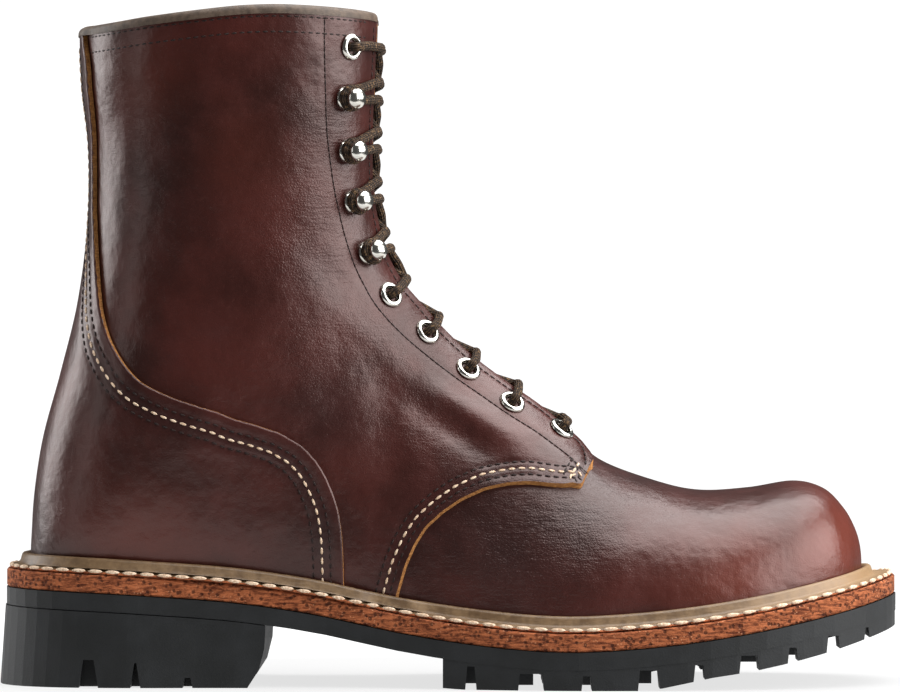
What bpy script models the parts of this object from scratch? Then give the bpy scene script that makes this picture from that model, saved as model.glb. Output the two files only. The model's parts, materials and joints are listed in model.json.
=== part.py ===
"""Right logger boot: laced leather upper on a stitched welt and a lugged rubber sole.

It stands on z = 0 with the toe along +X and its outer side along -Y.
"""

import math

import bpy
import numpy as np
from mathutils import Matrix, Vector

# Main sizes, in metres.
LAST_LENGTH = 0.2855
HEEL_BACK = -0.4935 * LAST_LENGTH
BALL_WIDTH = 0.0975
UPPER_HEIGHT = 0.195
HEEL_RISE = 0.0336
SIDE_SHIFT = 0.0190

# Thickness of the layers.
GAP = 0.0003
WALL = 0.0020
QUARTER_STEP = 0.0020
COUNTER_LIFT = 0.0042
COUNTER_THICKNESS = 0.0019
MIDSOLE = 0.0064
WELT_STRIP = 0.0026
WELT_BEAD = 0.0058
OUTSOLE_BASE = 0.0060
INSOLE = 0.0030
TONGUE_THICKNESS = 0.0018
TONGUE_DEPTH = 0.0074
BINDING_HEIGHT = 0.0030

# Laces and their fittings.
EYELET_OUTER = 0.0047
EYELET_BARREL = 0.0030
EYELET_INNER = 0.0024
EYELET_FLANGE = 0.0008
HOOK_BASE = 0.0040
HOOK_BALL = 0.0030
HOOK_RISE = 0.0066
LACE_RADIUS = 0.0016
FIRST_HOOK = 5
LAST_HOOK = 8

# Outsole top line: share of the last length, share of the heel rise.
SOLE_LINE = (
    (-0.051, 1.000), (0.135, 0.923), (0.243, 0.851), (0.328, 0.747), (0.436, 0.557), (0.531, 0.441),
    (0.636, 0.381), (0.722, 0.417), (0.853, 0.563), (0.979, 0.789), (1.042, 0.929),
)

# Underside of the forefoot tread, in the same shares.
TREAD_LINE = (
    (0.478, 0.018), (0.510, 0.000), (0.636, 0.000), (0.723, 0.000), (0.758, 0.039), (0.793, 0.107),
    (0.860, 0.196), (0.912, 0.289), (0.955, 0.381), (0.993, 0.476), (1.042, 0.601),
)

# Sections of the upper from toe to top. Each is a ring in a plane through a front point and a back
# point, with x as a share of the last length from the heel, z as a share of the upper height above
# the seat, widths as shares of the ball width, the place of the widest point, and two curve powers.
SECTIONS = (
    # front_x, front_z, back_x, back_z, outer, inner, swing, widest, front_power, back_power
    (1.000, 0.029, 1.000, 0.029, 0.000, 0.000, 0.062, 0.50, 2.20, 2.60),
    (0.998, 0.068, 0.998, -0.006, 0.092, 0.082, 0.062, 0.55, 2.20, 2.60),
    (0.991, 0.104, 0.991, -0.029, 0.179, 0.159, 0.062, 0.60, 2.20, 3.00),
    (0.977, 0.144, 0.977, -0.040, 0.267, 0.226, 0.059, 0.64, 2.30, 3.40),
    (0.953, 0.186, 0.953, -0.057, 0.354, 0.303, 0.056, 0.68, 2.35, 4.00),
    (0.916, 0.211, 0.916, -0.066, 0.431, 0.364, 0.051, 0.72, 2.35, 4.50),
    (0.860, 0.215, 0.860, -0.070, 0.497, 0.410, 0.041, 0.74, 2.30, 5.00),
    (0.797, 0.226, 0.793, -0.070, 0.533, 0.441, 0.031, 0.74, 2.20, 5.00),
    (0.734, 0.259, 0.720, -0.074, 0.538, 0.462, 0.021, 0.74, 2.10, 5.00),
    (0.678, 0.298, 0.643, -0.078, 0.528, 0.456, 0.010, 0.75, 2.05, 5.00),
    (0.643, 0.345, 0.566, -0.083, 0.492, 0.426, 0.005, 0.74, 2.00, 4.50),
    (0.604, 0.393, 0.482, -0.087, 0.441, 0.374, 0.010, 0.68, 2.00, 3.50),
    (0.566, 0.430, 0.391, -0.096, 0.395, 0.344, 0.010, 0.60, 2.00, 3.00),
    (0.527, 0.469, 0.285, -0.100, 0.369, 0.338, 0.010, 0.55, 2.00, 2.80),
    (0.492, 0.510, 0.166, -0.091, 0.369, 0.359, 0.005, 0.50, 2.00, 2.60),
    (0.462, 0.552, 0.061, -0.080, 0.374, 0.369, 0.000, 0.46, 2.05, 2.75),
    (0.436, 0.589, 0.005, -0.022, 0.385, 0.379, 0.000, 0.43, 2.10, 2.80),
    (0.417, 0.633, 0.000, 0.085, 0.390, 0.390, 0.000, 0.42, 2.15, 2.70),
    (0.405, 0.690, 0.011, 0.219, 0.385, 0.385, 0.000, 0.42, 2.20, 2.60),
    (0.399, 0.753, 0.034, 0.349, 0.379, 0.379, 0.000, 0.44, 2.25, 2.45),
    (0.398, 0.819, 0.055, 0.479, 0.379, 0.379, 0.000, 0.46, 2.30, 2.35),
    (0.399, 0.886, 0.067, 0.623, 0.390, 0.390, 0.000, 0.48, 2.30, 2.30),
    (0.401, 0.953, 0.068, 0.756, 0.405, 0.405, 0.000, 0.49, 2.30, 2.30),
    (0.403, 1.021, 0.059, 0.879, 0.421, 0.421, 0.000, 0.50, 2.30, 2.30),
    (0.404, 1.093, 0.057, 1.002, 0.431, 0.431, 0.000, 0.50, 2.30, 2.30),
    (0.405, 1.165, 0.056, 1.115, 0.436, 0.436, 0.000, 0.50, 2.30, 2.30),
)

# Lines seen from the side: share of the last length from the heel, share of the upper height.
VAMP_SEAM = (
    (0.655, 0.246), (0.636, 0.250), (0.594, 0.254), (0.568, 0.250), (0.540, 0.238), (0.512, 0.215),
    (0.490, 0.189), (0.470, 0.158), (0.457, 0.125), (0.446, 0.086), (0.436, 0.032), (0.432, 0.000),
)
COUNTER_LINE = (
    (0.370, 0.000), (0.370, 0.034), (0.368, 0.094), (0.365, 0.138), (0.359, 0.176), (0.347, 0.213),
    (0.335, 0.238), (0.317, 0.262), (0.292, 0.278), (0.259, 0.288), (0.218, 0.302), (0.182, 0.313),
    (0.152, 0.326), (0.127, 0.342), (0.107, 0.374), (0.092, 0.413), (0.082, 0.469), (0.077, 0.563),
    (0.074, 0.653), (0.074, 0.730), (0.072, 0.818), (0.068, 0.900), (0.062, 0.960), (0.060, 1.020),
)
COLLAR_LINE = (
    (-0.100, 0.950), (0.026, 0.954), (0.082, 0.960), (0.138, 0.975), (0.194, 0.990), (0.254, 1.007),
    (0.282, 1.014), (0.340, 1.026), (0.398, 1.040), (0.433, 1.048), (0.600, 1.090),
)
LACE_ROWS = (
    (0.627, 0.346), (0.568, 0.389), (0.514, 0.441), (0.464, 0.498), (0.419, 0.553), (0.389, 0.620),
    (0.372, 0.706), (0.366, 0.795), (0.364, 0.888), (0.371, 0.980),
)

# Half width of the gap between the flaps, by section row, as a share of the ball width.
FLAP_GAP = (
    (9.12, 0.273), (9.20, 0.190), (9.36, 0.132), (9.70, 0.098), (10.60, 0.084), (14.0, 0.082),
    (18.0, 0.092), (25.0, 0.108),
)

# How far the sole stands out from the foot of the upper, by share of the last length.
SOLE_EXTENSION = (
    # x, outer side, inner side (shares of the ball width)
    (-0.10, 0.130, 0.130), (0.03, 0.118, 0.118), (0.12, 0.098, 0.098), (0.30, 0.084, 0.080),
    (0.45, 0.078, 0.066), (0.60, 0.080, 0.074), (0.75, 0.080, 0.078), (0.90, 0.090, 0.090),
    (0.98, 0.108, 0.108), (1.10, 0.116, 0.116),
)

# Edge notches of the forefoot: centre (share of length), half width, height as a share of the tread.
EDGE_NOTCHES = (
    (0.5205, 0.0085, 0.62), (0.592, 0.0175, 0.56), (0.658, 0.0085, 0.52), (0.732, 0.0150, 0.60),
    (0.792, 0.0090, 0.55), (0.852, 0.0140, 0.60), (0.905, 0.0085, 0.55), (0.955, 0.0105, 0.60),
    (0.998, 0.0060, 0.50),
)
HEEL_NOTCHES = (
    # centre and half width (shares of length), height and narrowing to the top (metres)
    (0.0620, 0.0140, 0.0095, 0.0022), (0.1185, 0.0085, 0.0085, 0.0021), (0.1810, 0.0090, 0.0035, 0.0016),
)
HEEL_BREAST = 0.288

STEPS = 20
ARC_STEPS = 64


def curve(x, points):
    """Smooth curve through a table of points, at x."""
    knots = np.array([p[0] for p in points])
    values = np.array([p[1] for p in points])
    slopes = np.gradient(values, knots)
    x = np.clip(np.asarray(x, float), knots[0], knots[-1])
    i = np.clip(np.searchsorted(knots, x, side="right") - 1, 0, len(knots) - 2)
    width = knots[i + 1] - knots[i]
    s = (x - knots[i]) / width
    start = (2 * s**3 - 3 * s**2 + 1) * values[i] + (s**3 - 2 * s**2 + s) * width * slopes[i]
    end = (3 * s**2 - 2 * s**3) * values[i + 1] + (s**3 - s**2) * width * slopes[i + 1]
    return start + end


def share(x):
    return (np.asarray(x) - HEEL_BACK) / LAST_LENGTH


def outsole_top(x):
    return HEEL_RISE * curve(share(x), SOLE_LINE)


def seat(x):
    """Top of the midsole, where the upper stands."""
    return outsole_top(x) + MIDSOLE


def base_under(x):
    return outsole_top(x) - OUTSOLE_BASE


def tread_under(x):
    return np.clip(HEEL_RISE * curve(share(x), TREAD_LINE), 0, base_under(x) + 0.0005)


def side_point(point):
    x = HEEL_BACK + point[0] * LAST_LENGTH
    return x, float(seat(x)) + point[1] * UPPER_HEIGHT


def section_values(t):
    """The section table at fractional rows, with the toe row continued past the tip."""
    table = np.array(SECTIONS)
    before = table[1].copy()
    before[:4] = table[1][[2, 3, 0, 1]]
    before[4:6] *= -1
    padded = np.vstack([before, table, 2 * table[-1] - table[-2]])
    i = np.clip(np.floor(t).astype(int), 0, len(table) - 2)
    f = (t - i)[:, None]
    a, b, c, d = (padded[i + k] for k in range(4))
    return 0.5 * (2 * b + (c - a) * f + (2 * a - 5 * b + 4 * c - d) * f**2 + (3 * b - a - 3 * c + d) * f**3)


class Last:
    """Outer skin of the vamp layer as a fine grid of points and normals over (row, share of ring)."""

    def __init__(self):
        self.rows = len(SECTIONS) - 1
        self.t = np.linspace(0, self.rows, self.rows * STEPS + 1)
        self.v = np.linspace(-1, 1, 2 * ARC_STEPS + 1)
        s = section_values(self.t)
        self.ax = HEEL_BACK + s[:, 0] * LAST_LENGTH
        self.bx = HEEL_BACK + s[:, 2] * LAST_LENGTH
        self.az = seat(self.ax) + s[:, 1] * UPPER_HEIGHT
        self.bz = seat(self.bx) + s[:, 3] * UPPER_HEIGHT
        angle = np.linspace(0, math.pi / 2, 90)
        halves = []
        for side, column in ((-1, 4), (1, 5)):
            ring = np.zeros((len(self.t), ARC_STEPS + 1, 4))
            for k, row in enumerate(s):
                front = np.cos(angle) ** (2 / row[8])
                back = np.sin(angle) ** (2 / row[9])
                along = np.concatenate([row[7] * (1 - front), row[7] + (1 - row[7]) * back[1:]])
                wide = np.concatenate([np.sin(angle) ** (2 / row[8]), np.cos(angle[1:]) ** (2 / row[9])])
                x = self.ax[k] + along * (self.bx[k] - self.ax[k])
                z = self.az[k] + along * (self.bz[k] - self.az[k])
                y = BALL_WIDTH * (row[6] + SIDE_SHIFT + side * wide * row[column])
                run = np.concatenate([[0], np.cumsum(np.sqrt(np.diff(x)**2 + np.diff(y)**2 + np.diff(z)**2))])
                want = np.linspace(0, run[-1], ARC_STEPS + 1)
                for j, values in enumerate((x, y, z, along)):
                    ring[k, :, j] = np.interp(want, run, values)
            halves.append(ring)
        self.points = np.concatenate([halves[0][:, ::-1, :3], halves[1][:, 1:, :3]], axis=1)
        self.along = halves[0][:, :, 3]
        steps = np.linalg.norm(np.diff(self.points, axis=1), axis=2)
        self.lengths = steps[:, :ARC_STEPS].sum(axis=1), steps[:, ARC_STEPS:].sum(axis=1)
        wrapped = np.concatenate([self.points[:, -2:-1], self.points, self.points[:, 1:2]], axis=1)
        across = wrapped[:, 2:] - wrapped[:, :-2]
        normals = np.cross(across, np.gradient(self.points, axis=0))
        normals[0] = (1, 0, 0)
        self.normals = normals / np.maximum(np.linalg.norm(normals, axis=2, keepdims=True), 1e-12)

    def at(self, t, v, offset=0.0):
        """Points of the skin moved out by the offset. v runs from -1 (back, outer side) to 1."""
        t, v, offset = np.broadcast_arrays(np.asarray(t, float), np.asarray(v, float), offset)
        i = np.clip(t * STEPS, 0, len(self.t) - 1.001)
        j = np.clip((v + 1) * ARC_STEPS, 0, 2 * ARC_STEPS - 1e-6)
        i0, j0 = np.floor(i).astype(int), np.floor(j).astype(int)
        fi, fj = (i - i0)[..., None], (j - j0)[..., None]
        found = []
        for grid in (self.points, self.normals):
            low = grid[i0, j0] * (1 - fj) + grid[i0, j0 + 1] * fj
            high = grid[i0 + 1, j0] * (1 - fj) + grid[i0 + 1, j0 + 1] * fj
            found.append(low * (1 - fi) + high * fi)
        point, normal = found
        normal = normal / np.maximum(np.linalg.norm(normal, axis=-1, keepdims=True), 1e-12)
        return point + normal * offset[..., None]

    def normal(self, t, v):
        return self.at(t, v, 1.0) - self.at(t, v)

    def half_length(self, t, side):
        return np.interp(t, self.t, self.lengths[0 if side < 0 else 1])

    def locate(self, point):
        """Row and share of ring of the point whose side view is given in shares."""
        x, z = side_point(point)
        turn = (self.bx - self.ax) * (z - self.az) - (self.bz - self.az) * (x - self.ax)
        size = np.maximum((self.bx - self.ax)**2 + (self.bz - self.az)**2, 1e-12)
        g = ((x - self.ax) * (self.bx - self.ax) + (z - self.az) * (self.bz - self.az)) / size
        for k in np.nonzero(np.sign(turn[1:-1]) != np.sign(turn[2:]))[0] + 1:
            if -0.3 < g[k] < 1.3:
                f = turn[k] / (turn[k] - turn[k + 1])
                gk = g[k] * (1 - f) + g[k + 1] * f
                ring = self.along[k] * (1 - f) + self.along[k + 1] * f
                v = np.interp(gk, ring, np.linspace(0, 1, ARC_STEPS + 1))
                return self.t[k] * (1 - f) + self.t[k + 1] * f, float(v)
        raise ValueError("this point is not on the side of the boot")

    @staticmethod
    def ring_end(grid, over, outside, inside):
        """Where the bottom (or, above the tip, the top) of the rings passes through the height."""
        j = -1 if over[outside, -1] >= 0 else int(over[inside].argmax())
        f = over[outside, j] / (over[outside, j] - over[inside, j])
        return grid[outside, j] * (1 - f) + grid[inside, j] * f

    def foot_line(self, height, offset, side, shares):
        """Where the skin, moved out, is at this height over the seat, from toe tip (0) to heel (1)."""
        v = np.linspace(0, 1, ARC_STEPS + 1)
        grid = self.at(self.t[:, None], side * v[None, :], offset)
        over = grid[..., 2] - seat(grid[..., 0]) - height
        whole = np.nonzero((over[:, -1] < 0) & (over.max(axis=1) >= 0))[0]
        first, last = whole[0], whole[-1]
        line = [self.ring_end(grid, over, first - 1, first)]
        for k in range(first, last + 1):
            j = np.nonzero(over[k] >= 0)[0][-1]
            f = over[k, j] / (over[k, j] - over[k, j + 1])
            line.append(grid[k, j] * (1 - f) + grid[k, j + 1] * f)
        line.append(self.ring_end(grid, over, last + 1, last))
        line = np.array(line)
        run = np.concatenate([[0], np.cumsum(np.linalg.norm(np.diff(line, axis=0), axis=1))])
        return np.stack([np.interp(shares, run / run[-1], line[:, j]) for j in range(3)], axis=1)


def smooth_layer(x):
    """Thickness outside the vamp skin near the sole, by x."""
    u = share(x)
    first = np.clip((0.475 - u) / 0.020, 0, 1)
    second = np.clip((0.410 - u) / 0.020, 0, 1)
    return QUARTER_STEP * first + (COUNTER_LIFT - QUARTER_STEP) * second


LAST = Last()


def clear_scene():
    for obj in list(bpy.data.objects):
        bpy.data.objects.remove(obj, do_unlink=True)
    for collection in list(bpy.data.collections):
        bpy.data.collections.remove(collection)


def new_collection(name):
    made = bpy.data.collections.new(name)
    bpy.context.scene.collection.children.link(made)
    return made


def material(name, colour, roughness, metallic=0.0):
    made = bpy.data.materials.new(name)
    made.use_nodes = True
    shader = made.node_tree.nodes["Principled BSDF"]
    shader.inputs["Base Color"].default_value = (*colour, 1)
    shader.inputs["Roughness"].default_value = roughness
    shader.inputs["Metallic"].default_value = metallic
    made.diffuse_color = (*colour, 1)
    return made


clear_scene()
PARTS = new_collection("logger_boot")
CUTTERS = new_collection("cutters")
LEATHER = material("brown_leather", (0.060, 0.020, 0.014), 0.40)
TONGUE_LEATHER = material("tongue_leather", (0.045, 0.018, 0.013), 0.55)
BINDING = material("binding_leather", (0.10, 0.075, 0.055), 0.60)
INSOLE_LEATHER = material("insole_leather", (0.42, 0.29, 0.17), 0.70)
WELT_LEATHER = material("welt_leather", (0.16, 0.10, 0.055), 0.55)
MIDSOLE_LEATHER = material("midsole_leather", (0.25, 0.08, 0.03), 0.80)
RUBBER = material("black_rubber", (0.020, 0.022, 0.024), 0.65)
NICKEL = material("nickel", (0.60, 0.58, 0.54), 0.30, 1.0)
LACE = material("lace_cord", (0.050, 0.025, 0.015), 0.75)


def solid(name, points, faces, made_of=None):
    """Closed mesh from points and faces, turned to face out, its quads split into triangles."""
    tris = []
    for face in faces:
        tris += [(face[0], face[k], face[k + 1]) for k in range(1, len(face) - 1)]
    tris = [f for f in tris if len(set(f)) == 3]
    points = np.asarray(points, float)
    corners = points[np.array(tris)]
    if np.linalg.det(corners - points.mean(axis=0)).sum() < 0:
        tris = [(a, c, b) for a, b, c in tris]
    mesh = bpy.data.meshes.new(name)
    mesh.from_pydata(points.tolist(), [], tris)
    mesh.validate()
    obj = bpy.data.objects.new(name, mesh)
    if made_of is None:
        CUTTERS.objects.link(obj)
        obj.hide_render = True
        obj.display_type = "WIRE"
    else:
        PARTS.objects.link(obj)
        mesh.materials.append(made_of)
    return obj


def grid_faces(rows, columns, first=0, flip=False, closed=False):
    """Quads of a grid of points stored row by row."""
    faces = []
    for i in range(rows - 1):
        for j in range(columns if closed else columns - 1):
            k = (j + 1) % columns
            a, b = first + i * columns + j, first + i * columns + k
            c, d = a + columns, b + columns
            faces.append((a, c, d, b) if flip else (a, b, d, c))
    return faces


def slab(name, upper, lower, made_of=None):
    """Solid between two grids of the same size, walled round its edge."""
    rows, columns = upper.shape[:2]
    count = rows * columns
    faces = grid_faces(rows, columns) + grid_faces(rows, columns, count, flip=True)
    rim = [j for j in range(columns)]
    rim += [i * columns + columns - 1 for i in range(1, rows)]
    rim += [(rows - 1) * columns + j for j in range(columns - 2, -1, -1)]
    rim += [i * columns for i in range(rows - 2, 0, -1)]
    for a, b in zip(rim, rim[1:] + rim[:1]):
        faces.append((b, a, a + count, b + count))
    return solid(name, np.concatenate([upper.reshape(-1, 3), lower.reshape(-1, 3)]), faces, made_of)


def tube(name, rings, made_of=None, loop=False):
    """Solid swept through rings of points. A loop joins its last ring to its first."""
    count, sides = rings.shape[:2]
    faces = grid_faces(count, sides, closed=True)
    if loop:
        last = (count - 1) * sides
        faces += [(last + j, last + (j + 1) % sides, (j + 1) % sides, j) for j in range(sides)]
    else:
        faces.append(tuple(range(sides - 1, -1, -1)))
        faces.append(tuple((count - 1) * sides + j for j in range(sides)))
    return solid(name, rings.reshape(-1, 3), faces, made_of)


def boolean(obj, tool, operation="DIFFERENCE"):
    step = obj.modifiers.new(tool.name, "BOOLEAN")
    step.operation = operation
    step.solver = "MANIFOLD"
    step.object = tool


# Upper: vamp layer, quarters stepped on it, hollow, open at collar, throat and underneath.
RING = np.concatenate([np.linspace(-1, 0, 15)[:-1], np.linspace(0, 1, 15)[:-1]])
FORM_ROWS = np.concatenate([[0.30, 0.75, 1.3, 2.0, 2.8], np.arange(3.6, 16, 0.72), np.arange(16.2, 24.9, 0.9), [25]])


def sock(name, offset, made_of=None):
    """Closed form at one offset from the skin, from the toe tip to above the collar."""
    rings = LAST.at(FORM_ROWS[:, None], RING[None, :], offset)
    rows, columns = rings.shape[:2]
    points = np.concatenate([rings.reshape(-1, 3), LAST.at([0.0], [0.0], offset), [rings[-1].mean(axis=0)]])
    tip, top = rows * columns, rows * columns + 1
    faces = grid_faces(rows, columns, closed=True)
    faces += [(tip, (j + 1) % columns, j) for j in range(columns)]
    last = (rows - 1) * columns
    faces += [(top, last + j, last + (j + 1) % columns) for j in range(columns)]
    return solid(name, points, faces, made_of)


CORNER_ROW = FLAP_GAP[0][0]


def gap_share(t, side):
    """Share of the half ring taken by the gap between the flaps."""
    rows, widths = np.array(FLAP_GAP).T
    return np.interp(t, rows, widths) * BALL_WIDTH / LAST.half_length(t, side)


def seam_row(w):
    """Row of the quarter's front edge, by share of the way from flap to sole."""
    found = [LAST.locate(p) for p in VAMP_SEAM]
    ways = [(v - gap_share(t, -1)) / (1 - gap_share(t, -1)) for t, v in found]
    rows = [t for t, v in found]
    pairs = [(0.0, CORNER_ROW)]
    for way, row in zip(ways, rows):
        if way > pairs[-1][0] + 0.01:
            pairs.append((float(way), float(row)))
    pairs.append((1.2, pairs[-1][1]))
    return np.interp(w, [p[0] for p in pairs], [p[1] for p in pairs])


def quarter_patch(name, low, high, top_row, made_of=None):
    """Thick layer of both quarters, from one flap edge round the heel to the other."""
    ways = np.array([0, 0.03, 0.08, 0.15, 0.24, 0.33, 0.42, 0.50, 0.58, 0.65, 0.72, 0.79, 0.86, 0.93])
    steps = np.concatenate([[0, 0.012, 0.03, 0.055, 0.09, 0.13], np.linspace(0.18, 1, 18)])
    columns = [(-1, w) for w in ways] + [(1, w) for w in [1.0, *ways[::-1]]]
    grids = []
    for offset in (high, low):
        grid = []
        for side, w in columns:
            t = seam_row(w) + (top_row - seam_row(w)) * steps
            v = gap_share(t, side)
            grid.append(LAST.at(t, side * (v + w * (1 - v)), offset))
        grids.append(np.array(grid))
    return slab(name, grids[0], grids[1], made_of)


def throat_cutter(name, first_row, margin):
    t = np.concatenate([np.linspace(first_row, 12, 8), np.linspace(12.8, 25, 12)])
    across = np.linspace(-1, 1, 7)
    grids = []
    for offset in (0.008, -0.006):
        rows = []
        for row in t:
            ends = [gap_share(row, side) + margin / LAST.half_length(row, side) for side in (-1, 1)]
            v = np.where(across < 0, across * ends[0], across * ends[1])
            rows.append(LAST.at(row, v, offset))
        grids.append(np.array(rows))
    return slab(name, grids[0], grids[1])


def foot_cutter(name, rise):
    """Everything below the midsole top, raised a little."""
    x = np.linspace(HEEL_BACK - 0.02, HEEL_BACK + LAST_LENGTH + 0.02, 40)
    upper = np.stack([np.stack([x, np.full_like(x, y), seat(x) + rise], axis=1) for y in (-0.08, 0.08)], axis=1)
    lower = upper.copy()
    lower[..., 2] = -0.03
    return slab(name, upper, lower)


def collar_z(x):
    return seat(x) + UPPER_HEIGHT * curve(share(x), COLLAR_LINE)


def collar_cutter(name, rise=0.0):
    x = np.linspace(HEEL_BACK - 0.02, HEEL_BACK + 0.55 * LAST_LENGTH, 26)
    lower = np.stack([np.stack([x, np.full_like(x, y), collar_z(x) + rise], axis=1) for y in (-0.08, 0.08)], axis=1)
    upper = lower.copy()
    upper[..., 2] = 0.32
    return slab(name, upper, lower)


ROWS = [LAST.locate(p) for p in LACE_ROWS]


def row_share(k, side):
    """Share of the half ring at which row k of the fittings sits, the same arc on both sides."""
    t, v = ROWS[k]
    return v * LAST.half_length(t, -1) / LAST.half_length(t, side)


def fitting_frame(k, side):
    """Centre on the skin and outward direction of a fitting."""
    t, v = ROWS[k][0], side * row_share(k, side)
    return LAST.at(t, v), LAST.normal(t, v)


def lathe(name, profile, centre, axis, sides, made_of=None):
    """Closed solid turned about the axis, from (radius, height) pairs; radius 0 closes an end."""
    up = Vector((0, 0, 1)) if abs(axis[2]) < 0.9 else Vector((1, 0, 0))
    a = Vector(axis).normalized()
    b = a.cross(up).normalized()
    c = a.cross(b)
    angles = [2 * math.pi * k / sides for k in range(sides)]
    rings = [[centre + np.array(a * h + (b * math.cos(q) + c * math.sin(q)) * r) for q in angles] for r, h in profile]
    return tube(name, np.array(rings), made_of, loop=profile[0][0] > 0.001)


upper = sock("upper", 0.0, LEATHER)
quarters = quarter_patch("quarter_layer", -0.0030, QUARTER_STEP, 24.9)
inner = sock("upper_inside", -WALL)
boolean(upper, quarters, "UNION")
boolean(upper, inner)
boolean(upper, throat_cutter("throat_opening", 9.75, 0.0004))
boolean(upper, foot_cutter("upper_foot_cut", GAP))
boolean(upper, collar_cutter("collar_cut"))


def disc_tool(points, axis, radius, low, high, sides):
    """Points and faces of one short cylinder, for a cutter made of several."""
    a = Vector(axis).normalized()
    b = a.cross(Vector((0, 0, 1))).normalized()
    c = a.cross(b)
    rings = []
    for h in (low, high):
        for k in range(sides):
            q = 2 * math.pi * k / sides
            rings.append(points + np.array(a * h + (b * math.cos(q) + c * math.sin(q)) * radius))
    faces = [(k, (k + 1) % sides, sides + (k + 1) % sides, sides + k) for k in range(sides)]
    faces += [tuple(range(sides - 1, -1, -1)), tuple(range(sides, 2 * sides))]
    return rings, faces


def joined(name, pieces, made_of=None):
    points, faces = [], []
    for more, shape in pieces:
        base = len(points)
        points += [np.asarray(p) for p in more]
        faces += [tuple(base + i for i in f) for f in shape]
    return solid(name, np.array(points), faces, made_of)


holes = []
for side in (-1, 1):
    for k in (0, 1, 2, 3, 4, 9):
        centre, axis = fitting_frame(k, side)
        holes.append(disc_tool(centre, axis, EYELET_BARREL + GAP, -0.006, 0.006, 10))
boolean(upper, joined("eyelet_holes", holes))

# Counter and backstay: one leather layer over the quarters at the heel and up the back.
COUNTER = sorted(LAST.locate(p) for p in COUNTER_LINE)
COUNTER_FIRST = COUNTER[0][0]


def counter_region(name, low, high):
    t = np.concatenate([COUNTER_FIRST + np.array([0, 0.25, 0.6]), np.linspace(COUNTER_FIRST + 1.0, 19, 13),
                        np.linspace(19.6, 24.6, 9)])
    rows = np.array([c[0] for c in COUNTER])
    shares = np.array([c[1] for c in COUNTER])
    front = np.interp(t, rows, shares)
    ways = np.array([0, 0.12, 0.26, 0.42, 0.6, 0.8, 1.0])
    grids = []
    for offset in (high, low):
        grid = []
        for row, v in zip(t, front):
            outer_v = -(v + ways * (1 - v))
            inner_edge = v * LAST.half_length(row, -1) / LAST.half_length(row, 1)
            inner_v = (inner_edge + ways * (1 - inner_edge))[::-1][1:]
            grid.append(LAST.at(row, np.concatenate([outer_v, inner_v]), offset))
        grids.append(np.array(grid))
    return slab(name, grids[0], grids[1])


counter = quarter_patch("counter_backstay", COUNTER_LIFT - COUNTER_THICKNESS, COUNTER_LIFT, 24.9, LEATHER)
boolean(counter, counter_region("counter_region", 0.0008, 0.0070), "INTERSECT")
boolean(counter, foot_cutter("counter_foot_cut", GAP))
boolean(counter, collar_cutter("counter_collar_cut"))

# Tongue: under the laces, from the vamp to above the collar cut.
tongue_rows = np.concatenate([np.linspace(8.6, 12, 7), np.linspace(13.2, 23.2, 9)])
tongue_across = np.linspace(-1, 1, 7)


def tongue_grid(depth):
    grid = []
    for row in tongue_rows:
        half = 0.026 + 0.008 * min(1.0, max(0.0, (row - 12) / 8))
        sink = depth * 1.0 if row > 10 else WALL + 0.0006 + (depth - WALL - 0.0006) * (row - 8.6) / 1.4
        ends = [half / LAST.half_length(row, side) for side in (-1, 1)]
        v = np.where(tongue_across < 0, tongue_across * ends[0], tongue_across * ends[1])
        grid.append(LAST.at(row, v, -sink))
    return np.array(grid)


def tongue_under():
    return tongue_grid(TONGUE_DEPTH) - TONGUE_THICKNESS * np.array(
        [LAST.normal(row, tongue_across * 0.15) for row in tongue_rows])


slab("tongue", tongue_grid(TONGUE_DEPTH), tongue_under(), TONGUE_LEATHER)


# Sole outline, from the foot line of the upper pushed out.
def extension(x, side):
    column = 1 if side < 0 else 2
    return BALL_WIDTH * curve(share(x), [(row[0], row[column]) for row in SOLE_EXTENSION])


def sole_loop(extra, count=160):
    """Closed outline in plan: outer side from toe to heel, then inner side back to the toe."""
    shares = 0.5 - 0.5 * np.cos(np.linspace(0, math.pi, count))
    outer = LAST.foot_line(0.0, 0.0, -1, shares)
    inside = LAST.foot_line(0.0, 0.0, 1, shares)
    loop = np.concatenate([outer, inside[::-1][1:-1]])
    side = np.concatenate([np.full(count, -1), np.full(count - 2, 1)])
    along = np.roll(loop, -1, axis=0) - np.roll(loop, 1, axis=0)
    for _ in range(6):
        along = (np.roll(along, 1, axis=0) + along + np.roll(along, -1, axis=0)) / 3
    out = np.stack([-along[:, 1], along[:, 0]], axis=1)
    out /= np.linalg.norm(out, axis=1, keepdims=True)
    out *= np.sign((out * (loop[:, :2] - loop[:, :2].mean(axis=0))).sum())
    push = np.where(side < 0, extension(loop[:, 0], -1), extension(loop[:, 0], 1)) + extra
    return loop[:, :2] + out * push[:, None]


def loop_sides(loop, stations):
    """The two y values of a closed outline at each x station."""
    first, last = int(loop[:, 0].argmax()), int(loop[:, 0].argmin())
    order = np.roll(loop, -first, axis=0)
    cut = (last - first) % len(loop)
    one, two = order[:cut + 1][::-1], np.concatenate([order[cut:], order[:1]])
    low = np.interp(stations, one[:, 0], one[:, 1])
    high = np.interp(stations, two[:, 0], two[:, 1])
    return np.minimum(low, high), np.maximum(low, high)


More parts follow.
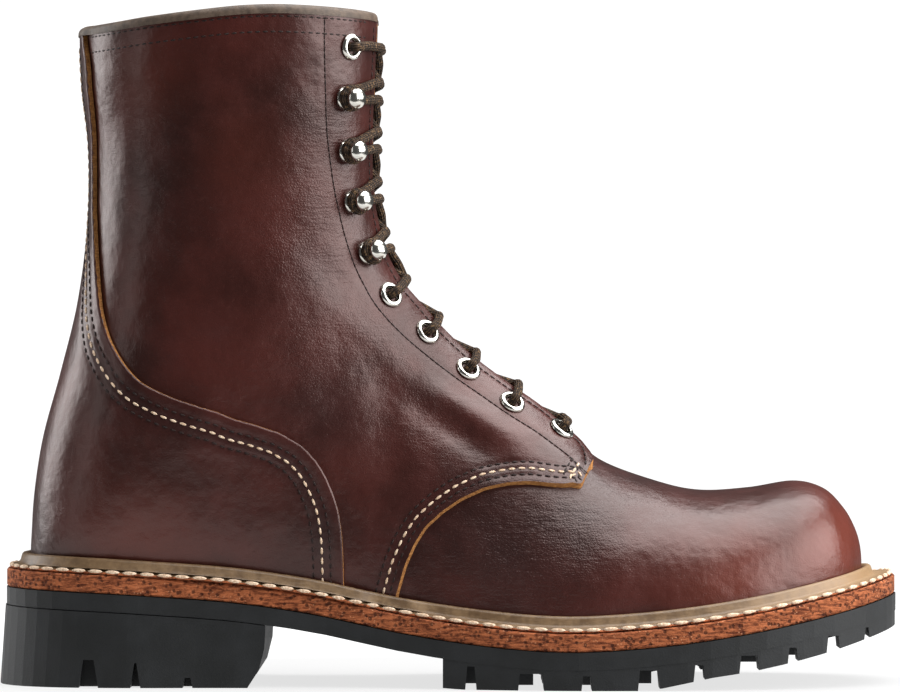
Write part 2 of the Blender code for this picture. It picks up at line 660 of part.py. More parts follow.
def plate(name, loop, top, under, made_of=None, low_x=None, high_x=None, count=40, under_loop=None):
    """Ladder of stations along x between a top surface and an underside."""
    ends = loop[:, 0].min() + 0.0004, loop[:, 0].max() - 0.0004
    start = ends[0] if low_x is None else low_x
    stop = ends[1] if high_x is None else high_x
    x = start + (stop - start) * (0.5 - 0.5 * np.cos(np.linspace(0, math.pi, count)))
    low, high = loop_sides(loop, x)
    under_x, under_low, under_high = x, low, high
    if under_loop is not None:
        first = under_loop[:, 0].min() + 0.0004 if low_x is None else low_x
        last = under_loop[:, 0].max() - 0.0004 if high_x is None else high_x
        under_x = first + (last - first) * (x - start) / (stop - start)
        under_low, under_high = loop_sides(under_loop, under_x)
    upper = np.stack([np.stack([x, y, top(x)], axis=1) for y in (low, high)], axis=1)
    lower = np.stack([np.stack([under_x, y, under(under_x)], axis=1) for y in (under_low, under_high)], axis=1)
    return slab(name, upper, lower, made_of)


def box(low, high, skew=0.0):
    """Points and faces of a box between two corners; skew narrows its top in x."""
    (x0, y0, z0), (x1, y1, z1) = low, high
    points = [(x0, y0, z0), (x1, y0, z0), (x1, y1, z0), (x0, y1, z0),
              (x0 + skew, y0, z1), (x1 - skew, y0, z1), (x1 - skew, y1, z1), (x0 + skew, y1, z1)]
    return points, [(0, 3, 2, 1), (4, 5, 6, 7), (0, 1, 5, 4), (1, 2, 6, 5), (2, 3, 7, 6), (3, 0, 4, 7)]


# Midsole, with the welt on top of its rim and the insole inside the upper.
plate("midsole", sole_loop(0.0010), seat, lambda x: outsole_top(x) + GAP, MIDSOLE_LEATHER)

insole_shares = 0.5 - 0.5 * np.cos(np.linspace(0, math.pi, 60))
insole_loop = np.concatenate([LAST.foot_line(0.0005, -WALL - 0.0011, -1, insole_shares),
                              LAST.foot_line(0.0005, -WALL - 0.0011, 1, insole_shares)[::-1][1:-1]])[:, :2]
plate("insole", insole_loop, lambda x: seat(x) + 0.0004 + INSOLE, lambda x: seat(x) + 0.0004, INSOLE_LEATHER, count=28)


def welt_rings(stations=32):
    """Rings of the welt: inner wall against the upper, raised bead, flat strip with a square edge."""
    shares = 0.5 - 0.5 * np.cos(np.linspace(0, math.pi, stations))
    shares = 0.5 * shares + 0.5 * np.linspace(0, 1, stations)
    rings = []
    for side in (-1, 1):
        base = LAST.foot_line(0.0, 0.0, side, shares)
        clear = 0.0006 + smooth_layer(base[:, 0])
        levels = (GAP, WELT_STRIP + GAP, WELT_BEAD)
        walls = [LAST.foot_line(h, 0.0, side, shares) for h in levels]
        along = np.gradient(base[:, :2], axis=0)
        along[0] = (0, along[0, 1])
        along[-1] = (0, along[-1, 1])
        out = np.stack([along[:, 1], -along[:, 0]], axis=1)
        out /= np.linalg.norm(out, axis=1, keepdims=True)
        if (out[:, 1] * side).sum() < 0:
            out = -out
        stand = []
        for wall in walls:
            stand.append(((wall[:, :2] - base[:, :2]) * out).sum(axis=1))
        widest = np.max(stand, axis=0)
        inner_reach = widest + clear
        reach = extension(base[:, 0], side)
        steps = ((inner_reach, levels[0]), (inner_reach, WELT_BEAD - 0.0012), (inner_reach + 0.0009, WELT_BEAD),
                 (inner_reach + 0.0022, WELT_BEAD - 0.0007), (inner_reach + 0.0033, WELT_STRIP + 0.0008),
                 (np.maximum(reach, inner_reach + 0.0045), WELT_STRIP + GAP),
                 (np.maximum(reach, inner_reach + 0.0045), levels[0]))
        column = []
        for distance, height in steps:
            xy = base[:, :2] + out * np.asarray(distance)[:, None]
            column.append(np.concatenate([xy, (seat(xy[:, 0]) + height)[:, None]], axis=1))
        rings.append(np.stack(column, axis=1))
    return np.concatenate([rings[0], rings[1][::-1][1:-1]])


tube("welt", welt_rings(), WELT_LEATHER, loop=True)

# Outsole: base layer from heel to toe, with a rim of lugs and centre lugs under the forefoot.
outsole_loop = sole_loop(0.0014)
outsole = plate("outsole", outsole_loop, outsole_top, base_under, RUBBER)
tread_start = HEEL_BACK + 0.487 * LAST_LENGTH
tread_rim = plate("tread_rim", sole_loop(0.0012), lambda x: base_under(x) + 0.001, tread_under,
                  low_x=tread_start, count=30)
hollow = plate("tread_hollow", sole_loop(-0.0125), lambda x: base_under(x) + 0.004, lambda x: x * 0 - 0.01,
               low_x=tread_start + 0.010, high_x=sole_loop(-0.0125)[:, 0].max() - 0.0005, count=16)
boolean(tread_rim, hollow)
notches = []
for middle, half, height in EDGE_NOTCHES:
    x = HEEL_BACK + middle * LAST_LENGTH
    low = float(tread_under(x))
    rise = low + height * (float(base_under(x)) - low) * 1.4
    notches.append(box((x - half * LAST_LENGTH, -0.09, low - 0.006), (x + half * LAST_LENGTH, 0.09, min(
        rise, float(base_under(x)) - 0.0004)), 0.0012))
boolean(tread_rim, joined("edge_notches", notches))
boolean(outsole, tread_rim, "UNION")
lugs = []
for k in range(9):
    x = HEEL_BACK + (0.530 + 0.048 * k) * LAST_LENGTH
    low, high = float(tread_under(x)), float(base_under(x))
    for row, y in enumerate((-0.016, 0.004, 0.024) if k % 2 else (-0.006, 0.014)):
        if k > 6 and abs(y - 0.006) > 0.012:
            continue
        lugs.append(box((x - 0.0052, y - 0.0065, low), (x + 0.0052, y + 0.0065, high + 0.0015)))
boolean(outsole, joined("centre_lugs", lugs), "UNION")

# Heel block: flared, with a curved breast and notched sides.
breast = HEEL_BACK + HEEL_BREAST * LAST_LENGTH
heel = plate("heel", sole_loop(0.0018), lambda x: base_under(x) - GAP, lambda x: x * 0, RUBBER,
             high_x=breast, count=26, under_loop=sole_loop(0.0036))
breast_pieces = []
for low_z, back_x in ((0.0, -0.010), (0.006, -0.0035), (0.0135, -0.0015), (0.04, 0.0)):
    bend = np.linspace(-1, 1, 9)
    breast_pieces.append([(breast + back_x - 0.005 * (1 - b * b), b * 0.06, low_z) for b in bend])
breast_near = np.array(breast_pieces)
breast_near[0, :, 2] = -0.004
breast_far = breast_near.copy()
breast_far[..., 0] = breast + 0.03
boolean(heel, slab("breast_cut", breast_far, breast_near))
cuts = []
for middle, half, height, narrowing in HEEL_NOTCHES:
    x = HEEL_BACK + middle * LAST_LENGTH
    for side in (-1, 1):
        inner_y, outer_y = sorted((side * 0.030, side * 0.06))
        cuts.append(box((x - half * LAST_LENGTH, inner_y, -0.004), (x + half * LAST_LENGTH, outer_y, height),
                        narrowing))
for k, x_share in enumerate((0.02, 0.105, 0.19)):
    x = HEEL_BACK + x_share * LAST_LENGTH
    cuts.append(box((x - 0.0022, -0.022, -0.004), (x + 0.0022, 0.022, 0.0045)))
boolean(heel, joined("heel_notches", cuts))


# Collar binding: rolled strip on the cut edge, from flap to flap round the back.
def collar_row(v):
    grid = LAST.at(LAST.t[300:], np.full(len(LAST.t) - 300, v))
    over = grid[:, 2] - collar_z(grid[:, 0])
    k = int(np.nonzero(over < 0)[0][-1])
    f = over[k] / (over[k] - over[k + 1])
    return float(LAST.t[300 + k] * (1 - f) + LAST.t[300 + k + 1] * f)


def binding_rings():
    rings = []
    gap = [float(gap_share(22.5, side)) + 0.0010 / 0.16 for side in (-1, 1)]
    ways = np.concatenate([np.linspace(0, 0.70, 11), [0.80, 0.855, 0.885, 0.95]])
    stations = [-(gap[0] + w * (1 - gap[0])) for w in ways] + [1.0]
    stations += [gap[1] + w * (1 - gap[1]) for w in ways[::-1]]
    backstay = np.interp(24, [c[0] for c in COUNTER], [c[1] for c in COUNTER])
    for v in stations:
        row = collar_row(v)
        over_stay = min(1.0, max(0.0, (abs(v) - backstay + 0.045) / 0.03))
        outer = QUARTER_STEP + 0.0004 + over_stay * (COUNTER_LIFT - QUARTER_STEP)
        inside = -WALL - 0.0004
        base = LAST.at(row, v)
        normal = LAST.normal(row, v)
        flat = np.array([normal[0], normal[1], 0])
        flat /= np.linalg.norm(flat)
        top = float(collar_z(base[0]))
        profile = ((inside, 0.0004), (inside, 0.0020), (inside + 0.0010, BINDING_HEIGHT),
                   (outer - 0.0010, BINDING_HEIGHT), (outer, 0.0020), (outer, 0.0004))
        rings.append([base + flat * d + np.array([0, 0, top + h - base[2]]) for d, h in profile])
    return np.array(rings)


tube("collar_binding", binding_rings(), BINDING)


# Fittings: eyelets through the leather, ball hooks standing on it.
SIDES = ((-1, "outer"), (1, "inner"))
for side, side_name in SIDES:
    for number, k in enumerate((0, 1, 2, 3, 4, 9), start=1):
        centre, axis = fitting_frame(k, side)
        low, high = -WALL - 0.0012, QUARTER_STEP + 0.0006
        lathe(f"eyelet_{side_name}_{number}", (
            (EYELET_INNER, low), (EYELET_BARREL, low), (EYELET_BARREL, high), (EYELET_OUTER, high),
            (EYELET_OUTER - 0.0006, high + EYELET_FLANGE), (EYELET_INNER, high + EYELET_FLANGE)),
            centre, axis, 10, NICKEL)
    for number, k in enumerate(range(FIRST_HOOK, LAST_HOOK + 1), start=1):
        centre, axis = fitting_frame(k, side)
        low = QUARTER_STEP + 0.0005
        top = low + HOOK_RISE
        lathe(f"hook_{side_name}_{number}", (
            (0.0004, low), (HOOK_BASE, low), (HOOK_BASE, low + 0.0008), (0.0016, low + 0.0010), (0.0014, top - 0.0034),
            (HOOK_BALL, top - 0.0018), (HOOK_BALL, top - 0.0002), (0.0016, top + 0.0012), (0.0004, top + 0.0013)),
            centre, axis, 8, NICKEL)


# Laces: crossings between neighbouring rows, joined in the middle, ending short of the fittings.
def cord_rings(stops, sides=6):
    """Rings of a lace through (row, share, offset) stops, turned with the skin under it."""
    path = np.array([LAST.at(t, v, lift) for t, v, lift in stops])
    rings = []
    for k, centre in enumerate(path):
        along = Vector(path[min(k + 1, len(path) - 1)] - path[max(k - 1, 0)]).normalized()
        across = along.cross(Vector(LAST.normal(*stops[k][:2]))).normalized()
        out = across.cross(along)
        turns = [2 * math.pi * (j + 0.5) / sides for j in range(sides)]
        rings.append([centre + LACE_RADIUS * np.array(across * math.cos(q) + out * math.sin(q)) for q in turns])
    return np.array(rings)


def lace_end(k, side, reach, lift, shift):
    """Point near row k, this far from its fitting towards the gap and along the row direction."""
    t, v = ROWS[k][0], row_share(k, side)
    step = np.linalg.norm(LAST.at(t + 0.1, side * v) - LAST.at(t, side * v)) / 0.1
    row = t + shift / step
    return row, side * (v - reach / LAST.half_length(t, side)), lift


OVER = QUARTER_STEP + LACE_RADIUS + 0.0009
OVER_END = QUARTER_STEP + LACE_RADIUS + 0.00045
OVER_DROP = 0.0031
UNDER = -WALL - LACE_RADIUS - 0.0010
CLEAR = EYELET_OUTER + 0.0009


def beyond_flap(t, side, distance, lift):
    """Stop this far past the flap edge, towards the middle of the gap."""
    return t, side * (float(gap_share(t, side)) - distance / LAST.half_length(t, side)), lift


def between(one, two, lift):
    return (one[0] + two[0]) / 2, (one[1] + two[1]) / 2, lift


def lace_ends(k, side):
    """The (row, share, offset) stops of one strand from row k to row k + 1 on the other side."""
    from_hook = FIRST_HOOK <= k <= LAST_HOOK
    to_hook = FIRST_HOOK <= k + 1
    start = lace_end(k, side, CLEAR + (0.0006 if from_hook else 0), OVER_END, 0.0024 if from_hook else 0.0)
    edge = beyond_flap(start[0] + 0.08, side, 0.0003, OVER)
    dip = beyond_flap(start[0] + 0.12, side, 0.0026, OVER_DROP)
    if to_hook:
        stop = lace_end(k + 1, -side, CLEAR + 0.0006, OVER_END, -0.0024 if k + 1 <= LAST_HOOK else 0.0)
        far_dip = beyond_flap(stop[0] - 0.12, -side, 0.0026, OVER_DROP)
        far_edge = beyond_flap(stop[0] - 0.08, -side, 0.0003, OVER)
        middle = between(dip, far_dip, 0.0008)
        return [start, between(start, edge, OVER), edge, dip, middle, far_dip, far_edge,
                between(far_edge, stop, OVER), stop]
    stop = beyond_flap(ROWS[k + 1][0], -side, -0.0022, UNDER)
    far = beyond_flap(stop[0] - 0.12, -side, 0.0065, UNDER * 0.9)
    middle = (dip[0] * 0.6 + far[0] * 0.4, side * 0.012, -0.0018)
    return [start, between(start, edge, OVER), edge, dip, middle, far, between(far, stop, UNDER), stop]


for k in range(9):
    crossing = tube(f"lace_crossing_{k + 1}", cord_rings(lace_ends(k, -1)), LACE)
    boolean(crossing, tube(f"lace_strand_{k + 1}", cord_rings(lace_ends(k, 1))), "UNION")

bar = []
for v in np.linspace(-1, 1, 7):
    side = -1 if v < 0 else 1
    reach = float(gap_share(ROWS[0][0], side)) + 0.0022 / LAST.half_length(ROWS[0][0], side)
    bar.append((ROWS[0][0], v * reach, UNDER))
tube("lace_bottom_bar", cord_rings(bar), LACE)
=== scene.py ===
"""Right logger boot: brown pull-up leather on a stitched storm welt and a lugged rubber sole."""

import json
import math

import bmesh
import bpy
import numpy as np
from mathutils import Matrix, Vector

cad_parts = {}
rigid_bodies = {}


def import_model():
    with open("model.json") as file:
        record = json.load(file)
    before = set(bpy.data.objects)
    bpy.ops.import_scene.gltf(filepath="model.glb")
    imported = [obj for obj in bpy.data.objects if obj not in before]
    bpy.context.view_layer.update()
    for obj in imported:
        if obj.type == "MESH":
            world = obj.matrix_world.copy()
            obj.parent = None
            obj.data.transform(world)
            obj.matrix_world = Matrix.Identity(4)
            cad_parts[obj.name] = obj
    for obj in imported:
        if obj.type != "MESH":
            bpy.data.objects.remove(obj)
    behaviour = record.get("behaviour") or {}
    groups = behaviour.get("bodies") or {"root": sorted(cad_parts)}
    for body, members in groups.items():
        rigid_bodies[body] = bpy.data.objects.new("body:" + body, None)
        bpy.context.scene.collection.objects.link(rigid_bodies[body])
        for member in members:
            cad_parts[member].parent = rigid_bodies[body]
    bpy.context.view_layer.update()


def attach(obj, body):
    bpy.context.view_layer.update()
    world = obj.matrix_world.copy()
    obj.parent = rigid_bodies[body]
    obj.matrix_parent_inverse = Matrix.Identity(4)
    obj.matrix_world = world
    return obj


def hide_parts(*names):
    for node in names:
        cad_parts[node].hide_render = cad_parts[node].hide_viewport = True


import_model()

# Studio: a white background and floor, large soft lamps above and in front of the toe, and two
# smaller ones beyond the heel. The camera stands level with the middle of the boot, two metres
# from it on its outer side, with a long lens, as in the photograph.
for obj in list(bpy.data.objects):
    if obj.type in ("CAMERA", "LIGHT") or obj.name == "Cube":
        bpy.data.objects.remove(obj, do_unlink=True)

scene = bpy.context.scene
scene.view_settings.view_transform = "Standard"


def put(name, data):
    """New object of a mesh, lamp or lens, in the scene."""
    obj = bpy.data.objects.new(name, data)
    scene.collection.objects.link(obj)
    return obj


lens = bpy.data.cameras.new("camera")
lens.sensor_width = 36
lens.lens = 229.2
lens.clip_end = 50
camera = put("camera", lens)
camera.location = (0.0006, -2.0, 0.117)
camera.rotation_euler = (math.radians(90), 0, 0)
scene.camera = camera

# The camera sees plain white behind the boot, but the background gives far less light than that.
world = bpy.data.worlds.new("studio")
world.use_nodes = True
sky = world.node_tree.nodes["Background"]
sky.inputs["Color"].default_value = (1, 1, 1, 1)
seen = world.node_tree.nodes.new("ShaderNodeLightPath")
power = world.node_tree.nodes.new("ShaderNodeMapRange")
power.inputs["To Min"].default_value = 0.08
power.inputs["To Max"].default_value = 1.1
world.node_tree.links.new(seen.outputs["Is Camera Ray"], power.inputs["Value"])
world.node_tree.links.new(power.outputs["Result"], sky.inputs["Strength"])
scene.world = world


def soft_lamp(name, place, aim, size, watts):
    """A white rectangular lamp that points at a place on the boot."""
    data = bpy.data.lights.new(name, "AREA")
    data.shape = "RECTANGLE"
    data.size, data.size_y = size
    data.energy = watts
    lamp = put(name, data)
    lamp.location = place
    lamp.rotation_euler = (Vector(aim) - Vector(place)).to_track_quat("-Z", "Y").to_euler()


soft_lamp("overhead", (0.30, 0.02, 1.00), (0.05, 0.0, 0.10), (1.2, 1.05), 22)
soft_lamp("right_side", (1.05, -0.34, 0.46), (0.06, 0, 0.1), (1.30, 0.80), 19)
soft_lamp("tall_left", (-1.00, -0.50, 0.40), (-0.05, 0, 0.13), (0.20, 0.80), 1.0)
soft_lamp("behind", (-0.95, 0.35, 0.45), (-0.05, 0, 0.12), (0.6, 0.8), 7)

# The floor takes a soft shadow round the boot and fades to pure white away from it. It is small
# and dark under its glow, so that it throws little light back on the leather.
floor_mesh = bpy.data.meshes.new("floor")
floor_mesh.from_pydata([(-0.5, -0.3, 0), (0.5, -0.3, 0), (0.5, 0.6, 0), (-0.5, 0.6, 0)], [], [(0, 1, 2, 3)])
floor = put("floor", floor_mesh)
white = bpy.data.materials.new("white_floor")
white.use_nodes = True
paint = white.node_tree.nodes["Principled BSDF"]
paint.inputs["Base Color"].default_value = (0.12, 0.12, 0.12, 1)
paint.inputs["Emission Strength"].default_value = 1.0
paint.inputs["Roughness"].default_value = 0.9
paint.inputs["Specular IOR Level"].default_value = 0.1
place = white.node_tree.nodes.new("ShaderNodeTexCoord")
away = white.node_tree.nodes.new("ShaderNodeVectorMath")
away.operation = "LENGTH"
glow = white.node_tree.nodes.new("ShaderNodeMapRange")
glow.inputs["From Min"].default_value = 0.15
glow.inputs["From Max"].default_value = 0.28
glow.inputs["To Min"].default_value = 0.74
glow.inputs["To Max"].default_value = 1.05
white.node_tree.links.new(place.outputs["Object"], away.inputs[0])
white.node_tree.links.new(away.outputs["Value"], glow.inputs["Value"])
white.node_tree.links.new(glow.outputs["Result"], paint.inputs["Emission Color"])
floor_mesh.materials.append(white)

# Last: the form that the leather is pulled over. It has no piece of its own, but every leather
# layer, seam, eyelet and lace takes its place from it. Its sections run from the toe to above the
# collar, with lengths as shares of the last length, the upper height and the ball width.
LAST_LENGTH = 0.2855
HEEL_BACK = -0.4935 * LAST_LENGTH
BALL_WIDTH = 0.0975
UPPER_HEIGHT = 0.195
HEEL_RISE = 0.0336
SIDE_SHIFT = 0.0190
MIDSOLE = 0.0064
WALL = 0.0020
QUARTER_STEP = 0.0020
COUNTER_LIFT = 0.0042
COUNTER_UNDER = 0.0023

SOLE_LINE = (
    # share of the last length, height of the outsole top as a share of the heel rise
    (-0.051, 1.000), (0.135, 0.923), (0.243, 0.851), (0.328, 0.747), (0.436, 0.557), (0.531, 0.441),
    (0.636, 0.381), (0.722, 0.417), (0.853, 0.563), (0.979, 0.789), (1.042, 0.929),
)
SECTIONS = (
    # front_x, front_z, back_x, back_z, outer, inner, swing, widest, front_power, back_power
    (1.000, 0.029, 1.000, 0.029, 0.000, 0.000, 0.062, 0.50, 2.20, 2.60),
    (0.998, 0.068, 0.998, -0.006, 0.092, 0.082, 0.062, 0.55, 2.20, 2.60),
    (0.991, 0.104, 0.991, -0.029, 0.179, 0.159, 0.062, 0.60, 2.20, 3.00),
    (0.977, 0.144, 0.977, -0.040, 0.267, 0.226, 0.059, 0.64, 2.30, 3.40),
    (0.953, 0.186, 0.953, -0.057, 0.354, 0.303, 0.056, 0.68, 2.35, 4.00),
    (0.916, 0.211, 0.916, -0.066, 0.431, 0.364, 0.051, 0.72, 2.35, 4.50),
    (0.860, 0.215, 0.860, -0.070, 0.497, 0.410, 0.041, 0.74, 2.30, 5.00),
    (0.797, 0.226, 0.793, -0.070, 0.533, 0.441, 0.031, 0.74, 2.20, 5.00),
    (0.734, 0.259, 0.720, -0.074, 0.538, 0.462, 0.021, 0.74, 2.10, 5.00),
    (0.678, 0.298, 0.643, -0.078, 0.528, 0.456, 0.010, 0.75, 2.05, 5.00),
    (0.643, 0.345, 0.566, -0.083, 0.492, 0.426, 0.005, 0.74, 2.00, 4.50),
    (0.604, 0.393, 0.482, -0.087, 0.441, 0.374, 0.010, 0.68, 2.00, 3.50),
    (0.566, 0.430, 0.391, -0.096, 0.395, 0.344, 0.010, 0.60, 2.00, 3.00),
    (0.527, 0.469, 0.285, -0.100, 0.369, 0.338, 0.010, 0.55, 2.00, 2.80),
    (0.492, 0.510, 0.166, -0.091, 0.369, 0.359, 0.005, 0.50, 2.00, 2.60),
    (0.462, 0.552, 0.061, -0.080, 0.374, 0.369, 0.000, 0.46, 2.05, 2.75),
    (0.436, 0.589, 0.005, -0.022, 0.385, 0.379, 0.000, 0.43, 2.10, 2.80),
    (0.417, 0.633, 0.000, 0.085, 0.390, 0.390, 0.000, 0.42, 2.15, 2.70),
    (0.405, 0.690, 0.011, 0.219, 0.385, 0.385, 0.000, 0.42, 2.20, 2.60),
    (0.399, 0.753, 0.034, 0.349, 0.379, 0.379, 0.000, 0.44, 2.25, 2.45),
    (0.398, 0.819, 0.055, 0.479, 0.379, 0.379, 0.000, 0.46, 2.30, 2.35),
    (0.399, 0.886, 0.067, 0.623, 0.390, 0.390, 0.000, 0.48, 2.30, 2.30),
    (0.401, 0.953, 0.068, 0.756, 0.405, 0.405, 0.000, 0.49, 2.30, 2.30),
    (0.403, 1.021, 0.059, 0.879, 0.421, 0.421, 0.000, 0.50, 2.30, 2.30),
    (0.404, 1.093, 0.057, 1.002, 0.431, 0.431, 0.000, 0.50, 2.30, 2.30),
    (0.405, 1.165, 0.056, 1.115, 0.436, 0.436, 0.000, 0.50, 2.30, 2.30),
)


def curve(x, points):
    """Smooth curve through a table of points, at x."""
    knots = np.array([p[0] for p in points])
    values = np.array([p[1] for p in points])
    slopes = np.gradient(values, knots)
    x = np.clip(np.asarray(x, float), knots[0], knots[-1])
    i = np.clip(np.searchsorted(knots, x, side="right") - 1, 0, len(knots) - 2)
    width = knots[i + 1] - knots[i]
    s = (x - knots[i]) / width
    start = (2 * s**3 - 3 * s**2 + 1) * values[i] + (s**3 - 2 * s**2 + s) * width * slopes[i]
    end = (3 * s**2 - 2 * s**3) * values[i + 1] + (s**3 - s**2) * width * slopes[i + 1]
    return start + end


def share(x):
    return (np.asarray(x) - HEEL_BACK) / LAST_LENGTH


def outsole_top(x):
    return HEEL_RISE * curve(share(x), SOLE_LINE)


def seat(x):
    """Top of the midsole, where the upper stands."""
    return outsole_top(x) + MIDSOLE


def run_along(line):
    """Running length at each point of a line."""
    return np.concatenate([[0], np.cumsum(np.linalg.norm(np.diff(line, axis=0), axis=1))])


class Last:
    """Skin of the vamp as a fine grid of points and normals over (section row, share of ring)."""

    steps, arc = 30, 128

    def __init__(self):
        self.rows = len(SECTIONS) - 1
        self.t = np.linspace(0, self.rows, self.rows * self.steps + 1)
        s = self.values(self.t)
        self.ax = HEEL_BACK + s[:, 0] * LAST_LENGTH
        self.bx = HEEL_BACK + s[:, 2] * LAST_LENGTH
        self.az = seat(self.ax) + s[:, 1] * UPPER_HEIGHT
        self.bz = seat(self.bx) + s[:, 3] * UPPER_HEIGHT
        angle = np.linspace(0, math.pi / 2, 160)
        halves = []
        for side, column in ((-1, 4), (1, 5)):
            ring = np.zeros((len(self.t), self.arc + 1, 4))
            for k, row in enumerate(s):
                front = np.cos(angle) ** (2 / row[8])
                back = np.sin(angle) ** (2 / row[9])
                along = np.concatenate([row[7] * (1 - front), row[7] + (1 - row[7]) * back[1:]])
                wide = np.concatenate([np.sin(angle) ** (2 / row[8]), np.cos(angle[1:]) ** (2 / row[9])])
                x = self.ax[k] + along * (self.bx[k] - self.ax[k])
                z = self.az[k] + along * (self.bz[k] - self.az[k])
                y = BALL_WIDTH * (row[6] + SIDE_SHIFT + side * wide * row[column])
                run = np.concatenate([[0], np.cumsum(np.sqrt(np.diff(x)**2 + np.diff(y)**2 + np.diff(z)**2))])
                want = np.linspace(0, run[-1], self.arc + 1)
                for j, values in enumerate((x, y, z, along)):
                    ring[k, :, j] = np.interp(want, run, values)
            halves.append(ring)
        self.points = np.concatenate([halves[0][:, ::-1, :3], halves[1][:, 1:, :3]], axis=1)
        self.along = halves[0][:, :, 3]
        steps = np.linalg.norm(np.diff(self.points, axis=1), axis=2)
        self.lengths = steps[:, :self.arc].sum(axis=1), steps[:, self.arc:].sum(axis=1)
        wrapped = np.concatenate([self.points[:, -2:-1], self.points, self.points[:, 1:2]], axis=1)
        self.across = (wrapped[:, 2:] - wrapped[:, :-2]) * self.arc / 2
        self.onward = np.gradient(self.points, axis=0) * self.steps
        normals = np.cross(self.across, self.onward)
        normals[0] = (1, 0, 0)
        self.normals = normals / np.maximum(np.linalg.norm(normals, axis=2, keepdims=True), 1e-12)

    @staticmethod
    def values(t):
        """The section table at fractional rows, with the toe row continued past the tip."""
        table = np.array(SECTIONS)
        before = table[1].copy()
        before[:4] = table[1][[2, 3, 0, 1]]
        before[4:6] *= -1
        padded = np.vstack([before, table, 2 * table[-1] - table[-2]])
        i = np.clip(np.floor(t).astype(int), 0, len(table) - 2)
        f = (t - i)[:, None]
        a, b, c, d = (padded[i + k] for k in range(4))
        return 0.5 * (2 * b + (c - a) * f + (2 * a - 5 * b + 4 * c - d) * f**2
                      + (3 * b - a - 3 * c + d) * f**3)

    def read(self, grid, t, v):
        """A grid's values at fractional rows t and shares v, from -1 (back, outer side) to 1."""
        t, v = np.broadcast_arrays(np.asarray(t, float), np.asarray(v, float))
        i = np.clip(t * self.steps, 0, len(self.t) - 1.001)
        j = np.clip((v + 1) * self.arc, 0, 2 * self.arc - 1e-6)
        i0, j0 = np.floor(i).astype(int), np.floor(j).astype(int)
        fi, fj = (i - i0)[..., None], (j - j0)[..., None]
        low = grid[i0, j0] * (1 - fj) + grid[i0, j0 + 1] * fj
        high = grid[i0 + 1, j0] * (1 - fj) + grid[i0 + 1, j0 + 1] * fj
        return low * (1 - fi) + high * fi

    def normal(self, t, v):
        found = self.read(self.normals, t, v)
        return found / np.maximum(np.linalg.norm(found, axis=-1, keepdims=True), 1e-12)

    def at(self, t, v, lift=0.0):
        """Points of the skin moved out by a lift."""
        return self.read(self.points, t, v) + self.normal(t, v) * np.asarray(lift)[..., None]

    def half_length(self, t, side):
        return np.interp(t, self.t, self.lengths[0 if side < 0 else 1])

    def locate(self, point):
        """Row and share of ring of the point whose side view is given in shares."""
        x = HEEL_BACK + point[0] * LAST_LENGTH
        z = float(seat(x)) + point[1] * UPPER_HEIGHT
        turn = (self.bx - self.ax) * (z - self.az) - (self.bz - self.az) * (x - self.ax)
        size = np.maximum((self.bx - self.ax)**2 + (self.bz - self.az)**2, 1e-12)
        g = ((x - self.ax) * (self.bx - self.ax) + (z - self.az) * (self.bz - self.az)) / size
        for k in np.nonzero(np.sign(turn[1:-1]) != np.sign(turn[2:]))[0] + 1:
            if -0.3 < g[k] < 1.3:
                f = turn[k] / (turn[k] - turn[k + 1])
                gk = g[k] * (1 - f) + g[k + 1] * f
                ring = self.along[k] * (1 - f) + self.along[k + 1] * f
                v = np.interp(gk, ring, np.linspace(0, 1, self.arc + 1))
                return self.t[k] * (1 - f) + self.t[k + 1] * f, float(v)
        raise ValueError("this point is not on the side of the boot")

    @staticmethod
    def ring_end(grid, over, outside, inside):
        j = -1 if over[outside, -1] >= 0 else int(over[inside].argmax())
        f = over[outside, j] / (over[outside, j] - over[inside, j])
        return grid[outside, j] * (1 - f) + grid[inside, j] * f

    def foot_line(self, height, lift, side, shares):
        """Where the skin, moved out, is at this height over the seat, from toe tip (0) to heel (1)."""
        v = np.linspace(0, 1, self.arc + 1)
        grid = self.at(self.t[:, None], side * v[None, :], lift)
        over = grid[..., 2] - seat(grid[..., 0]) - height
        whole = np.nonzero((over[:, -1] < 0) & (over.max(axis=1) >= 0))[0]
        first, final = whole[0], whole[-1]
        line = [self.ring_end(grid, over, first - 1, first)]
        for k in range(first, final + 1):
            j = np.nonzero(over[k] >= 0)[0][-1]
            f = over[k, j] / (over[k, j] - over[k, j + 1])
            line.append(grid[k, j] * (1 - f) + grid[k, j + 1] * f)
        line.append(self.ring_end(grid, over, final + 1, final))
        line = np.array(line)
        run = run_along(line)
        return np.stack([np.interp(shares, run / run[-1], line[:, j]) for j in range(3)], axis=1)

    def foot_share(self, t, side, height):
        """Share of the half ring at which the skin comes down to a height over the seat."""
        v = np.linspace(0, 1, self.arc + 1)
        found = []
        for row in np.atleast_1d(t):
            ring = self.at(row, side * v)
            over = ring[:, 2] - seat(ring[:, 0]) - height
            above = np.nonzero(over >= 0)[0]
            if len(above) == 0:
                found.append(0.02)
            elif above[-1] == self.arc:
                found.append(1.0)
            else:
                j = above[-1]
                found.append((j + over[j] / (over[j] - over[j + 1])) / self.arc)
        return np.array(found)


last = Last()

# Vamp: one piece of smooth brown pull-up leather over the toe and instep, pulled tight on the
# last and stitched under the quarters. It is dark and finely wrinkled behind the toe, where the
# leather flexes, and redder on the toe itself.


